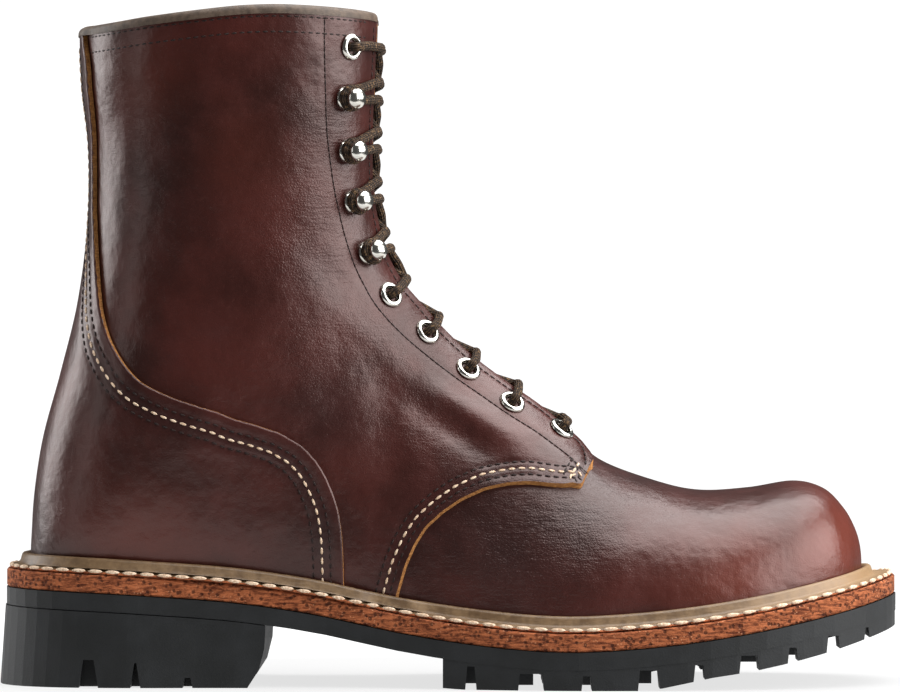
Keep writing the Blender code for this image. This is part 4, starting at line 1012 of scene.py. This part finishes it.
def stitch_tree():
    """Geometry Nodes: one bead on each point, its length along 'run' and its height along 'out'."""
    tree = bpy.data.node_groups.new("thread_stitches", "GeometryNodeTree")
    tree.interface.new_socket("Geometry", in_out="INPUT", socket_type="NodeSocketGeometry")
    keys = {}
    for name in ("Length", "Width", "Height"):
        keys[name] = tree.interface.new_socket(name, in_out="INPUT", socket_type="NodeSocketFloat").identifier
    thread_input = tree.interface.new_socket("Thread", in_out="INPUT", socket_type="NodeSocketMaterial")
    keys["Thread"] = thread_input.identifier
    tree.interface.new_socket("Geometry", in_out="OUTPUT", socket_type="NodeSocketGeometry")
    entry, leave = tree.nodes.new("NodeGroupInput"), tree.nodes.new("NodeGroupOutput")
    bead = tree.nodes.new("GeometryNodeMeshUVSphere")
    bead.inputs["Segments"].default_value = 8
    bead.inputs["Rings"].default_value = 5
    bead.inputs["Radius"].default_value = 0.5
    sizes = tree.nodes.new("ShaderNodeCombineXYZ")
    for axis, name in zip("XYZ", ("Length", "Width", "Height")):
        tree.links.new(entry.outputs[name], sizes.inputs[axis])
    turn = tree.nodes.new("FunctionNodeAxesToRotation")
    turn.primary_axis, turn.secondary_axis = "Z", "X"
    for attribute, socket in (("out", 0), ("run", 1)):
        read = tree.nodes.new("GeometryNodeInputNamedAttribute")
        read.data_type = "FLOAT_VECTOR"
        read.inputs["Name"].default_value = attribute
        tree.links.new(read.outputs["Attribute"], turn.inputs[socket])
    place = tree.nodes.new("GeometryNodeInstanceOnPoints")
    real = tree.nodes.new("GeometryNodeRealizeInstances")
    smooth = tree.nodes.new("GeometryNodeSetShadeSmooth")
    colour = tree.nodes.new("GeometryNodeSetMaterial")
    tree.links.new(entry.outputs["Geometry"], place.inputs["Points"])
    tree.links.new(bead.outputs["Mesh"], place.inputs["Instance"])
    tree.links.new(turn.outputs["Rotation"], place.inputs["Rotation"])
    tree.links.new(sizes.outputs["Vector"], place.inputs["Scale"])
    tree.links.new(place.outputs["Instances"], real.inputs["Geometry"])
    tree.links.new(real.outputs["Geometry"], smooth.inputs["Geometry"])
    tree.links.new(smooth.outputs["Geometry"], colour.inputs["Geometry"])
    tree.links.new(entry.outputs["Thread"], colour.inputs["Material"])
    tree.links.new(colour.outputs["Geometry"], leave.inputs["Geometry"])
    return tree, keys


stitching, stitching_keys = stitch_tree()


def sew(name, marks, sizes, material):
    """Turns marks (place, run, out) into one mesh of stitches."""
    places, runs, outs = (np.concatenate([m[k] for m in marks]) for k in range(3))
    mesh = bpy.data.meshes.new(name)
    mesh.from_pydata(places.tolist(), [], [])
    for attribute, values in (("run", runs), ("out", outs)):
        mesh.attributes.new(attribute, "FLOAT_VECTOR", "POINT").data.foreach_set(
            "vector", values.astype(np.float32).reshape(-1))
    source = put(name + "_marks", mesh)
    step = source.modifiers.new("stitches", "NODES")
    step.node_group = stitching
    for key, value in zip(("Length", "Width", "Height"), sizes):
        step[stitching_keys[key]] = value
    step[stitching_keys["Thread"]] = material
    ready = source.evaluated_get(bpy.context.evaluated_depsgraph_get())
    made = bpy.data.meshes.new_from_object(ready)
    bpy.data.objects.remove(source, do_unlink=True)
    piece = put(name, made)
    if not made.materials:
        made.materials.append(material)
    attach(piece, "root")
    return piece


def unit(vectors):
    """The same directions, all of length one."""
    return vectors / np.linalg.norm(vectors, axis=1, keepdims=True)


def spaced(t, v, lift, pitch, skip=0.0):
    """Marks at an even pitch along a line of the skin, at a lift."""
    run = run_along(last.at(t, v))
    want = np.arange(skip + pitch / 2, run[-1] - skip, pitch)
    t, v = np.interp(want, run, t), np.interp(want, run, v)
    places, normals = last.at(t, v), last.normal(t, v)
    return places + normals * (lift + relief(places))[:, None], unit(np.gradient(places, axis=0)), normals


def after_corner(t, v, searched=200, step=20):
    """The part of a seam that lies past its sharpest turn near the flap."""
    along = unit(np.diff(last.at(t, v), axis=0))
    turn = (along[step:searched] * along[:searched - step]).sum(axis=1)
    corner = int(turn.argmin()) + step
    return t[corner:], v[corner:]


def moved_in(t, v, distance, towards, moves=6):
    """The line that lies a distance over the skin from an edge, on the side of a given place."""
    edge = last.at(t, v)
    along = np.gradient(edge, axis=0)
    direction = unit(np.cross(last.normal(t, v), along))
    direction *= np.sign((direction * (last.at(*towards) - edge)).sum(axis=1).mean())
    for _ in range(moves):
        here = last.at(t, v)
        per_t = (last.at(t + 0.02, v) - here) / 0.02
        per_v = (last.at(t, v + 0.004) - here) / 0.004
        a, b, c = ((p * q).sum(axis=1) for p, q in ((per_t, per_t), (per_t, per_v), (per_v, per_v)))
        p, q = (direction * per_t).sum(axis=1), (direction * per_v).sum(axis=1)
        size = np.maximum(a * c - b * b, 1e-14)
        step_t, step_v = (c * p - b * q) / size, (a * q - b * p) / size
        length = np.linalg.norm(per_t * step_t[:, None] + per_v * step_v[:, None], axis=1)
        t = t + step_t * distance / moves / length
        v = np.clip(v + step_v * distance / moves / length, -1, 1)
    return t, v


def on_quarter(t, v, side):
    """The part of a line that lies on the quarter, clear of the row along the flap edge."""
    from_flap = reach(last.at(t, v), last.at(*flap_edge(side)))
    inside = (np.abs(v) > gap_share(t, side)) & (from_flap > FLAP_CLEARANCE)
    return t[inside], v[inside]


cream_marks, dark_marks, fine_marks = [], [], []
triple_row = ((dark_marks, DARK_PITCH), (cream_marks, CREAM_PITCH), (dark_marks, DARK_PITCH))
for side in (-1, 1):
    for distance, (marks, pitch) in zip(SEAM_THREADS, triple_row):
        row, ring = moved_in(*after_corner(*seam_edge(side)), distance, (16.0, side * 0.5))
        marks.append(spaced(*on_quarter(row, ring, side), QUARTER_STEP - TRIPLE_SINK, pitch))
    for distance, (marks, pitch) in zip(COUNTER_THREADS, triple_row):
        row, ring = counter_edge(side)
        row, ring = moved_in(row, ring, thread_distance(row, distance), (17.0, side * 1.0))
        marks.append(spaced(row, ring, COUNTER_LIFT - TRIPLE_SINK, pitch, skip=0.002))
    row, ring = moved_in(*flap_edge(side), FLAP_THREAD, (17.0, side * 0.5))
    dark_marks.append(spaced(row, ring, QUARTER_STEP - FLAP_SINK, EDGE_PITCH, skip=0.003))
    fine_marks.append(spaced(*facing_edge(side), QUARTER_STEP - SINGLE_SINK, FACING_PITCH))
    collar_v = side * np.linspace(0.14, 0.90, 300)
    top = collar_row(collar_v)
    rise = (last.at(top, collar_v)[:, 2] - last.at(top - 0.5, collar_v)[:, 2]) / 0.5
    for drop in COLLAR_DROPS:
        dark_marks.append(spaced(top - drop / rise, collar_v, QUARTER_STEP - SINGLE_SINK, EDGE_PITCH))
sew("cream_stitches", cream_marks, CREAM_STITCH, cream_thread)
sew("dark_stitches", dark_marks, DARK_STITCH, dark_thread)
sew("facing_stitches", fine_marks, FACING_STITCH, dark_thread)

# Midsole: a layer of rust-brown leather under the welt, its edge cut and left rough.
SOLE_EXTENSION = (
    # x, outer side, inner side (shares of the ball width)
    (-0.10, 0.130, 0.130), (0.03, 0.118, 0.118), (0.12, 0.098, 0.098), (0.30, 0.084, 0.080),
    (0.45, 0.078, 0.066), (0.60, 0.080, 0.074), (0.75, 0.080, 0.078), (0.90, 0.090, 0.090),
    (0.98, 0.108, 0.108), (1.10, 0.116, 0.116),
)
# The leather layers of the sole stand this far apart.
GAP = 0.0003


def extension(x, side):
    """How far the sole stands out past the last."""
    column = 1 if side < 0 else 2
    return BALL_WIDTH * curve(share(x), [(row[0], row[column]) for row in SOLE_EXTENSION])


def sole_loop(extra, count=260):
    """Closed outline in plan: outer side from toe to heel, then inner side back to the toe."""
    shares = 0.5 - 0.5 * np.cos(np.linspace(0, math.pi, count))
    outer = last.foot_line(0.0, 0.0, -1, shares)
    inside = last.foot_line(0.0, 0.0, 1, shares)
    loop = np.concatenate([outer, inside[::-1][1:-1]])
    side = np.concatenate([np.full(count, -1), np.full(count - 2, 1)])
    along = np.roll(loop, -1, axis=0) - np.roll(loop, 1, axis=0)
    for _ in range(10):
        along = (np.roll(along, 1, axis=0) + along + np.roll(along, -1, axis=0)) / 3
    out = unit(np.stack([-along[:, 1], along[:, 0]], axis=1))
    out *= np.sign((out * (loop[:, :2] - loop[:, :2].mean(axis=0))).sum())
    push = np.where(side < 0, extension(loop[:, 0], -1), extension(loop[:, 0], 1)) + extra
    return loop[:, :2] + out * push[:, None]


def layer(name, loops, heights, material):
    """Flat layer of the sole: outlines at rising heights, closed above and below."""
    count = len(loops[0])
    rings = np.array([np.concatenate([loop, height(loop[:, 0])[:, None]], axis=1)
                      for loop, height in zip(loops, heights)])
    levels = len(rings)
    index = np.arange(levels * count).reshape(levels, count)
    turned = np.roll(index, -1, axis=1)
    faces = np.stack([index[:-1], index[1:], turned[1:], turned[:-1]], axis=-1).reshape(-1, 4).tolist()
    half = count // 2
    for level, flip in ((0, False), (levels - 1, True)):
        ring = index[level].tolist()
        for k in range(half):
            face = [ring[k], ring[k + 1], ring[count - k - 1], ring[(count - k) % count]]
            face = list(dict.fromkeys(face))
            faces.append(face[::-1] if flip else face)
    mesh = bpy.data.meshes.new(name)
    mesh.from_pydata(rings.reshape(-1, 3).tolist(), [], faces)
    mesh.materials.append(material)
    centre = rings.reshape(-1, 3).mean(axis=0)
    volume = sum((Vector(mesh.vertices[p.vertices[0]].co) - Vector(centre)).dot(p.normal) * p.area
                 for p in mesh.polygons)
    if volume < 0:
        mesh.flip_normals()
    shade_smooth(mesh, 35)
    return put(name, mesh)


def rough_rust(where):
    fibres = where.stretched(0.6, 0.6, 3.0).noise(380, 5.0, 0.75)
    specks = where.cells(520).between(0.18, 0.42)
    worn = where.noise(90, 3.0, 0.6)
    flecks = where.cells(880).between(0.10, 0.30)
    colour = fibres.between(0.34, 0.66).tint(srgb(82, 36, 19), srgb(186, 108, 68))
    colour = ((1 - specks) * 0.75).tint(colour, srgb(52, 22, 14))
    colour = ((1 - flecks) * worn.between(0.40, 0.62) * 0.8).tint(colour, srgb(206, 146, 108))
    return {"Base Color": colour, "Normal": (fibres * 0.9 + specks * 0.6).bump(0.0007, 1.0)}


rust_leather = finish("rust_midsole_leather", {"Roughness": 0.85, "Specular IOR Level": 0.2}, rough_rust)
midsole = layer("midsole_layer", [sole_loop(e) for e in (0.0006, 0.0010, 0.0010, 0.0006)],
                [lambda x: outsole_top(x) + GAP, lambda x: outsole_top(x) + 0.0008,
                 lambda x: seat(x) - 0.0005, seat], rust_leather)
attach(midsole, "root")
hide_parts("midsole")

# Welt: a storm welt of olive-taupe leather round the upper, with a rounded bead against it. Its
# edge slopes down, and heavy cream thread through the slope holds the welt to the midsole.
WELT_STRIP = 0.0026
WELT_BEAD = 0.0058
BEAD_RADIUS = 0.0016
STITCH_IN = 0.0006
STITCH_HEIGHT = 0.0012
WELT_STITCH = (0.0054, 0.0016, 0.0016)
WELT_PITCH = 0.0060
# Faces round the welt, in each of its rings, that are its cut edge.
CUT_FACES = 3


def smooth_layer(x):
    u = share(x)
    first = np.clip((0.475 - u) / 0.020, 0, 1)
    second = np.clip((0.410 - u) / 0.020, 0, 1)
    return QUARTER_STEP * first + (COUNTER_LIFT - QUARTER_STEP) * second


def waxed_welt(where):
    grain = where.noise(260, 4.0, 0.65)
    streaks = where.stretched(0.25, 0.25, 2.0).noise(500, 2.0, 0.5)
    # Painted highlight: towards the toe the welt is painted a lighter tan, standing in for the light that
    # catches its fore part.
    toe_highlight = where.node("ShaderNodeSeparateXYZ", None, {"Vector": where}).between(0.075, 0.150)
    colour = grain.between(0.3, 0.7).tint(srgb(92, 70, 47), srgb(122, 97, 68))
    colour = (toe_highlight * 0.7).tint(colour, srgb(160, 130, 96))
    return {"Base Color": colour, "Roughness": grain * 0.2 + 0.32,
            "Normal": (grain * 0.6 + streaks * 0.5).bump(0.0003, 0.6)}


welt_leather = finish("waxed_welt_leather", {"Specular IOR Level": 0.45}, waxed_welt)


def welt_side(side, count=230):
    """Rings of half the welt, and the line of its stitches with their outward directions."""
    shares = 0.5 - 0.5 * np.cos(np.linspace(0, math.pi, count))
    shares = 0.5 * shares + 0.5 * np.linspace(0, 1, count)
    base = last.foot_line(0.0, 0.0, side, shares)
    clear = 0.0006 + smooth_layer(base[:, 0])
    along = np.gradient(base[:, :2], axis=0)
    for _ in range(4):
        along[1:-1] = (along[:-2] + along[1:-1] + along[2:]) / 3
    along[0] = (0, along[0, 1])
    along[-1] = (0, along[-1, 1])
    out = unit(np.stack([along[:, 1], -along[:, 0]], axis=1))
    if (out[:, 1] * side).sum() < 0:
        out = -out
    stand = [((last.foot_line(h, 0.0, side, shares)[:, :2] - base[:, :2]) * out).sum(axis=1)
             for h in (GAP, WELT_STRIP + GAP, WELT_BEAD)]
    inner = np.max(stand, axis=0) + clear - 0.0004
    edge = np.maximum(extension(base[:, 0], side), inner + 0.0045)
    steps = [(inner, GAP), (inner, WELT_BEAD - BEAD_RADIUS)]
    for q in np.linspace(math.pi, 0.12 * math.pi, 9):
        steps.append((inner + BEAD_RADIUS + BEAD_RADIUS * math.cos(q),
                      WELT_BEAD - BEAD_RADIUS + BEAD_RADIUS * math.sin(q)))
    steps += [(inner + 0.0036, WELT_STRIP + 0.0003), (inner + 0.0041, WELT_STRIP - 0.0004),
              (edge - 0.0022, 0.0019), (edge - 0.0012, 0.0016), (edge - 0.0004, 0.0011),
              (edge, 0.0007), (edge - 0.0003, GAP)]
    rings = []
    for distance, height in steps:
        xy = base[:, :2] + out * np.asarray(distance)[:, None]
        rings.append(np.concatenate([xy, (seat(xy[:, 0]) + height)[:, None]], axis=1))
    xy = base[:, :2] + out * (edge - STITCH_IN)[:, None]
    line = np.concatenate([xy, (seat(xy[:, 0]) + STITCH_HEIGHT)[:, None]], axis=1)
    return np.stack(rings, axis=1), line, np.concatenate([out, np.full((count, 1), 0.8)], axis=1)


sides_of_welt = [welt_side(side) for side in (-1, 1)]
welt = tube_mesh("storm_welt", np.concatenate([sides_of_welt[0][0], sides_of_welt[1][0][::-1][1:-1]]),
                 welt_leather, loop=True)
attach(welt, "root")
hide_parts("welt")
welt.data.materials.append(rust_leather)
around = sides_of_welt[0][0].shape[1]
cut_edge = np.arange(len(welt.data.polygons)) % around >= around - CUT_FACES
welt.data.polygons.foreach_set("material_index", cut_edge.astype(np.int32))
welt_marks = []
for rings, line, out in sides_of_welt:
    run = run_along(line)
    want = np.arange(WELT_PITCH / 2, run[-1], WELT_PITCH)
    places = np.stack([np.interp(want, run, line[:, k]) for k in range(3)], axis=1)
    outs = np.stack([np.interp(want, run, out[:, k]) for k in range(3)], axis=1)
    welt_marks.append((places, unit(np.gradient(places, axis=0)), unit(outs)))
sew("welt_stitches", welt_marks, WELT_STITCH, cream_thread)

# Insole: smooth tan leather inside the boot. Its solid has the right shape, so it only takes the
# leather of the lining.
bpy.data.objects["insole"].material_slots[0].material = lining

# Outsole and heel: one hard, blue-black rubber compound, moulded with blocks along the edge. Their
# solids stay too, and only take the rubber.
def moulded_rubber(where):
    grain = where.noise(1400, 2.0, 0.6)
    dust = where.noise(60, 3.0, 0.6)
    return {"Base Color": dust.between(0.35, 0.75).tint(srgb(15, 17, 18), srgb(27, 29, 31)),
            "Roughness": dust * 0.15 + 0.50, "Normal": grain.bump(0.00015, 0.5)}


rubber = finish("blue_black_rubber", {"Specular IOR Level": 0.4}, moulded_rubber)
for node in ("outsole", "heel"):
    bpy.data.objects[node].material_slots[0].material = rubber

# Eyelets and hooks: polished nickel. An eyelet has a rolled rim over the hole, and a hook is a
# round base set in the leather with a ball on a short neck.
EYELET_OUTER = 0.0047
EYELET_INNER = 0.0024
EYELET_TUBE = EYELET_INNER + 0.0006
EYELET_UNDER = -WALL - 0.0012
EYELET_TOP = QUARTER_STEP + 0.0002
RIM_RISE = 0.0012
HOOK_BASE = 0.0040
HOOK_BALL = 0.0037
HOOK_RISE = 0.0066
HOOK_SEAT = QUARTER_STEP + 0.0001
# The closed profile of a hook starts and ends this close to its axis.
AXIS = 0.00001
# Rows of the laces that have hooks, counted from 0 at the toe.
FIRST_HOOK, LAST_HOOK = 5, 8
EYELET_ROWS = (0, 1, 2, 3, 4, 9)


def polished(where):
    smudge = where.noise(300, 3.0, 0.6)
    return {"Base Color": smudge.between(0.3, 0.8).tint(srgb(206, 203, 194), srgb(224, 222, 215)),
            "Roughness": smudge * 0.12 + 0.12}


nickel = finish("polished_nickel", {"Metallic": 1.0}, polished)
LACE_PLACES = [last.locate(p) for p in LACE_ROWS]


def row_share(k, side):
    """Share of the half ring of a fitting in row k, with the same arc on both sides."""
    t, v = LACE_PLACES[k]
    return v * last.half_length(t, -1) / last.half_length(t, side)


def turn_fittings(name, profile, places, node_names, sides=28):
    """Turned metal fittings from one closed profile of (radius, height) pairs."""
    points, faces = [], []
    for centre, axis in places:
        a = Vector(axis).normalized()
        b = a.cross(Vector((0, 0, 1))).normalized()
        c = a.cross(b)
        base = len(points)
        for radius, height in profile:
            for k in range(sides):
                q = 2 * math.pi * k / sides
                points.append(Vector(centre) + a * height + (b * math.cos(q) + c * math.sin(q)) * radius)
        count = len(profile)
        for i in range(count):
            for k in range(sides):
                j, m = (i + 1) % count, (k + 1) % sides
                near, far = base + i * sides, base + j * sides
                faces.append((near + k, near + m, far + m, far + k))
    mesh = bpy.data.meshes.new(name)
    mesh.from_pydata(points, [], faces)
    work = bmesh.new()
    work.from_mesh(mesh)
    bmesh.ops.remove_doubles(work, verts=work.verts, dist=1e-6)
    bmesh.ops.recalc_face_normals(work, faces=work.faces)
    work.to_mesh(mesh)
    work.free()
    mesh.materials.append(nickel)
    shade_smooth(mesh, 50)
    piece = put(name, mesh)
    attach(piece, "root")
    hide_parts(*node_names)


eyelet_profile = [(EYELET_INNER, EYELET_UNDER), (EYELET_TUBE, EYELET_UNDER)]
eyelet_profile += [(EYELET_TUBE, EYELET_TOP), (EYELET_OUTER, EYELET_TOP)]
eyelet_profile += [((EYELET_OUTER + EYELET_INNER) / 2 + (EYELET_OUTER - EYELET_INNER) / 2 * math.cos(q),
                    EYELET_TOP + RIM_RISE * math.sin(q)) for q in np.linspace(0.15, math.pi, 9)]
hook_profile = [(AXIS, HOOK_SEAT), (HOOK_BASE, HOOK_SEAT), (HOOK_BASE, HOOK_SEAT + 0.0005),
                (HOOK_BASE - 0.0004, HOOK_SEAT + 0.0010), (0.0024, HOOK_SEAT + 0.0012),
                (0.0016, HOOK_SEAT + 0.0016), (0.0015, HOOK_SEAT + HOOK_RISE - 0.0034)]
ball_middle = HOOK_SEAT + HOOK_RISE - 0.0010
hook_profile += [(max(AXIS, HOOK_BALL * math.cos(q)), ball_middle + HOOK_BALL * 0.72 * math.sin(q))
                 for q in np.linspace(-1.15, math.pi / 2, 12)]
for side, side_name in ((-1, "outer"), (1, "inner")):
    spots = [(last.at(LACE_PLACES[k][0], side * row_share(k, side)),
              last.normal(LACE_PLACES[k][0], side * row_share(k, side))) for k in range(len(LACE_ROWS))]
    turn_fittings(f"eyelets_{side_name}", eyelet_profile, [spots[k] for k in EYELET_ROWS],
                  [f"eyelet_{side_name}_{n}" for n in range(1, 7)])
    turn_fittings(f"hooks_{side_name}", hook_profile, spots[FIRST_HOOK:LAST_HOOK + 1],
                  [f"hook_{side_name}_{n}" for n in range(1, 5)])

# Laces: one round braided cord, dark brown with tan flecks. It comes up through the lower
# eyelets, goes round the hooks, and goes down into the top eyelets.
LACE_RADIUS = 0.0016
OVER = QUARTER_STEP + LACE_RADIUS - 0.0001
OVER_END = QUARTER_STEP + LACE_RADIUS + 0.0001
OVER_DROP = 0.0022
UNDER = -WALL - LACE_RADIUS - 0.0010
CLEAR = EYELET_OUTER + 0.0009
# The cord passes a hook above or below its middle, and lies on a small circle round its neck.
HOOK_ROOM = 0.0006
HOOK_SHIFT = 0.0024
HOOK_CIRCLE = 0.0032
# Lifts of the cord over the skin as it comes up through an eyelet, and as it goes down the top one.
COMING_UP = (-WALL - 0.0014, 0.0008, QUARTER_STEP + 0.0024)
GOING_DOWN = (QUARTER_STEP + 0.0022, 0.0004, -WALL - 0.0020)
# The braid has six waves round the cord and 270 a metre along it. These are their phases.
BRAID_ROUND = 37.699
BRAID_ALONG = 1700.0


def braid(where):
    uv = where.node("ShaderNodeUVMap", {"uv_map": "braid"})
    split = where.node("ShaderNodeSeparateXYZ", None, {"Vector": uv})
    run = Field(split.tree, split.socket.node.outputs["Y"])
    turned_left = (split * BRAID_ROUND + run * BRAID_ALONG).math("SINE")
    turned_right = (split * -BRAID_ROUND + run * BRAID_ALONG).math("SINE")
    weave = turned_left * turned_right
    fleck = where.noise(900, 2.0, 0.6)
    colour = weave.between(-0.4, 0.8).tint(srgb(30, 20, 14), srgb(72, 54, 38))
    colour = (fleck.between(0.55, 0.64) * 0.6).tint(colour, srgb(136, 106, 74))
    return {"Base Color": colour, "Normal": weave.bump(0.0004, 0.8)}


lace_cord = finish("braided_lace", {"Roughness": 0.75, "Specular IOR Level": 0.25}, braid)


def lace_end(k, side, reach_out, lift, shift):
    """Place near row k, this far from its fitting towards the gap and along the rows."""
    t, v = LACE_PLACES[k][0], row_share(k, side)
    step = np.linalg.norm(last.at(t + 0.1, side * v) - last.at(t, side * v)) / 0.1
    row = t + shift / step
    return row, side * (v - reach_out / last.half_length(t, side)), lift


def beyond_flap(t, side, distance, lift):
    """Stop this far past the flap edge, towards the middle of the gap."""
    return t, side * (float(gap_share(t, side)) - distance / last.half_length(t, side)), lift


def between(one, two, lift):
    return (one[0] + two[0]) / 2, (one[1] + two[1]) / 2, lift


def lace_stops(k, side):
    """Stops of one strand from row k to row k + 1 on the other side, near the solid bars."""
    from_hook, to_hook = FIRST_HOOK <= k <= LAST_HOOK, FIRST_HOOK <= k + 1
    room, shift = (HOOK_ROOM, HOOK_SHIFT) if from_hook else (0.0, 0.0)
    start = lace_end(k, side, CLEAR + room, OVER_END, shift)
    edge = beyond_flap(start[0] + 0.08, side, 0.0003, OVER)
    dip = beyond_flap(start[0] + 0.12, side, 0.0026, OVER_DROP)
    if to_hook:
        shift = -HOOK_SHIFT if k + 1 <= LAST_HOOK else 0.0
        stop = lace_end(k + 1, -side, CLEAR + HOOK_ROOM, OVER_END, shift)
        far_dip = beyond_flap(stop[0] - 0.12, -side, 0.0026, OVER_DROP)
        far_edge = beyond_flap(stop[0] - 0.08, -side, 0.0003, OVER)
        stops = [start, between(start, edge, OVER), edge, dip, between(dip, far_dip, 0.0006 + side * 0.0015),
                 far_dip, far_edge, between(far_edge, stop, OVER), stop]
    else:
        stop = beyond_flap(LACE_PLACES[k + 1][0], -side, -0.0022, UNDER)
        far = beyond_flap(stop[0] - 0.12, -side, 0.0065, UNDER * 0.9)
        middle = (dip[0] * 0.6 + far[0] * 0.4, side * 0.012, -0.0020 + side * 0.0012)
        stops = [start, between(start, edge, OVER), edge, dip, middle, far, between(far, stop, UNDER), stop]
    return [last.at(*place) for place in stops]


def through(k, side, lifts):
    """Places on the axis of the eyelet of row k, at these lifts."""
    t, v = LACE_PLACES[k][0], side * row_share(k, side)
    return [last.at(t, v, lift) for lift in lifts]


def round_hook(k, side):
    """Places round the neck of a hook, from under it to over it on its far side."""
    t, v = LACE_PLACES[k][0], side * row_share(k, side)
    centre = last.at(t, v, HOOK_SEAT + 0.0012 + LACE_RADIUS)
    upward = last.at(t + 0.2, v) - last.at(t - 0.2, v)
    upward /= np.linalg.norm(upward)
    to_gap = np.cross(last.normal(t, v), upward)
    to_gap /= np.linalg.norm(to_gap)
    to_gap *= np.sign((to_gap * (last.at(t, 0.0) - last.at(t, v))).sum())
    return [centre + HOOK_CIRCLE * (to_gap * math.cos(q) + upward * math.sin(q))
            for q in np.radians([-75, -115, -155, 180, 155, 115, 75])]


def strand_path(first_side):
    """All places of one strand, from the middle of the bottom bar to inside a top eyelet."""
    t0 = LACE_PLACES[0][0]
    bar_share = float(gap_share(t0, first_side)) + 0.0022 / last.half_length(t0, first_side)
    path = [last.at(t0, 0.0, UNDER), last.at(t0, first_side * bar_share, UNDER)]
    path += through(0, first_side, COMING_UP)
    for k in range(len(LACE_ROWS) - 1):
        side = first_side * (-1) ** k
        path += lace_stops(k, side)
        if k + 1 < FIRST_HOOK:
            path += through(k + 1, -side, COMING_UP)
        elif k + 1 <= LAST_HOOK:
            path += round_hook(k + 1, -side)
        else:
            path += through(k + 1, -side, GOING_DOWN)
    return np.array(path)


def cord(name, path, sides=12):
    """Round cord through a list of places, with its running length for the braid."""
    run = run_along(path)
    keep = np.concatenate([[True], np.diff(run) > 1e-5])
    path, run = path[keep], run[keep]
    want = np.linspace(0, run[-1], int(run[-1] / 0.0005))
    line = evened(np.stack([curve(want, list(zip(run, path[:, k]))) for k in range(3)], axis=1), 4)
    along = unit(np.gradient(line, axis=0))
    side = np.cross(along[0], (0.3, 0.2, 1.0))
    rings = []
    for centre, tangent in zip(line, along):
        side = side - tangent * (side @ tangent)
        side /= np.linalg.norm(side)
        up = np.cross(tangent, side)
        rings.append([centre + LACE_RADIUS * (side * math.cos(q) + up * math.sin(q))
                      for q in np.linspace(0, 2 * math.pi, sides, endpoint=False)])
    return tube_mesh(name, np.array(rings), lace_cord, along=run_along(line))


for first_side, strand_name in ((-1, "lace_strand_one"), (1, "lace_strand_two")):
    strand = cord(strand_name, strand_path(first_side))
    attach(strand, "root")
    if first_side < 0:
        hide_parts(*[f"lace_crossing_{k}" for k in range(1, 10)], "lace_bottom_bar")
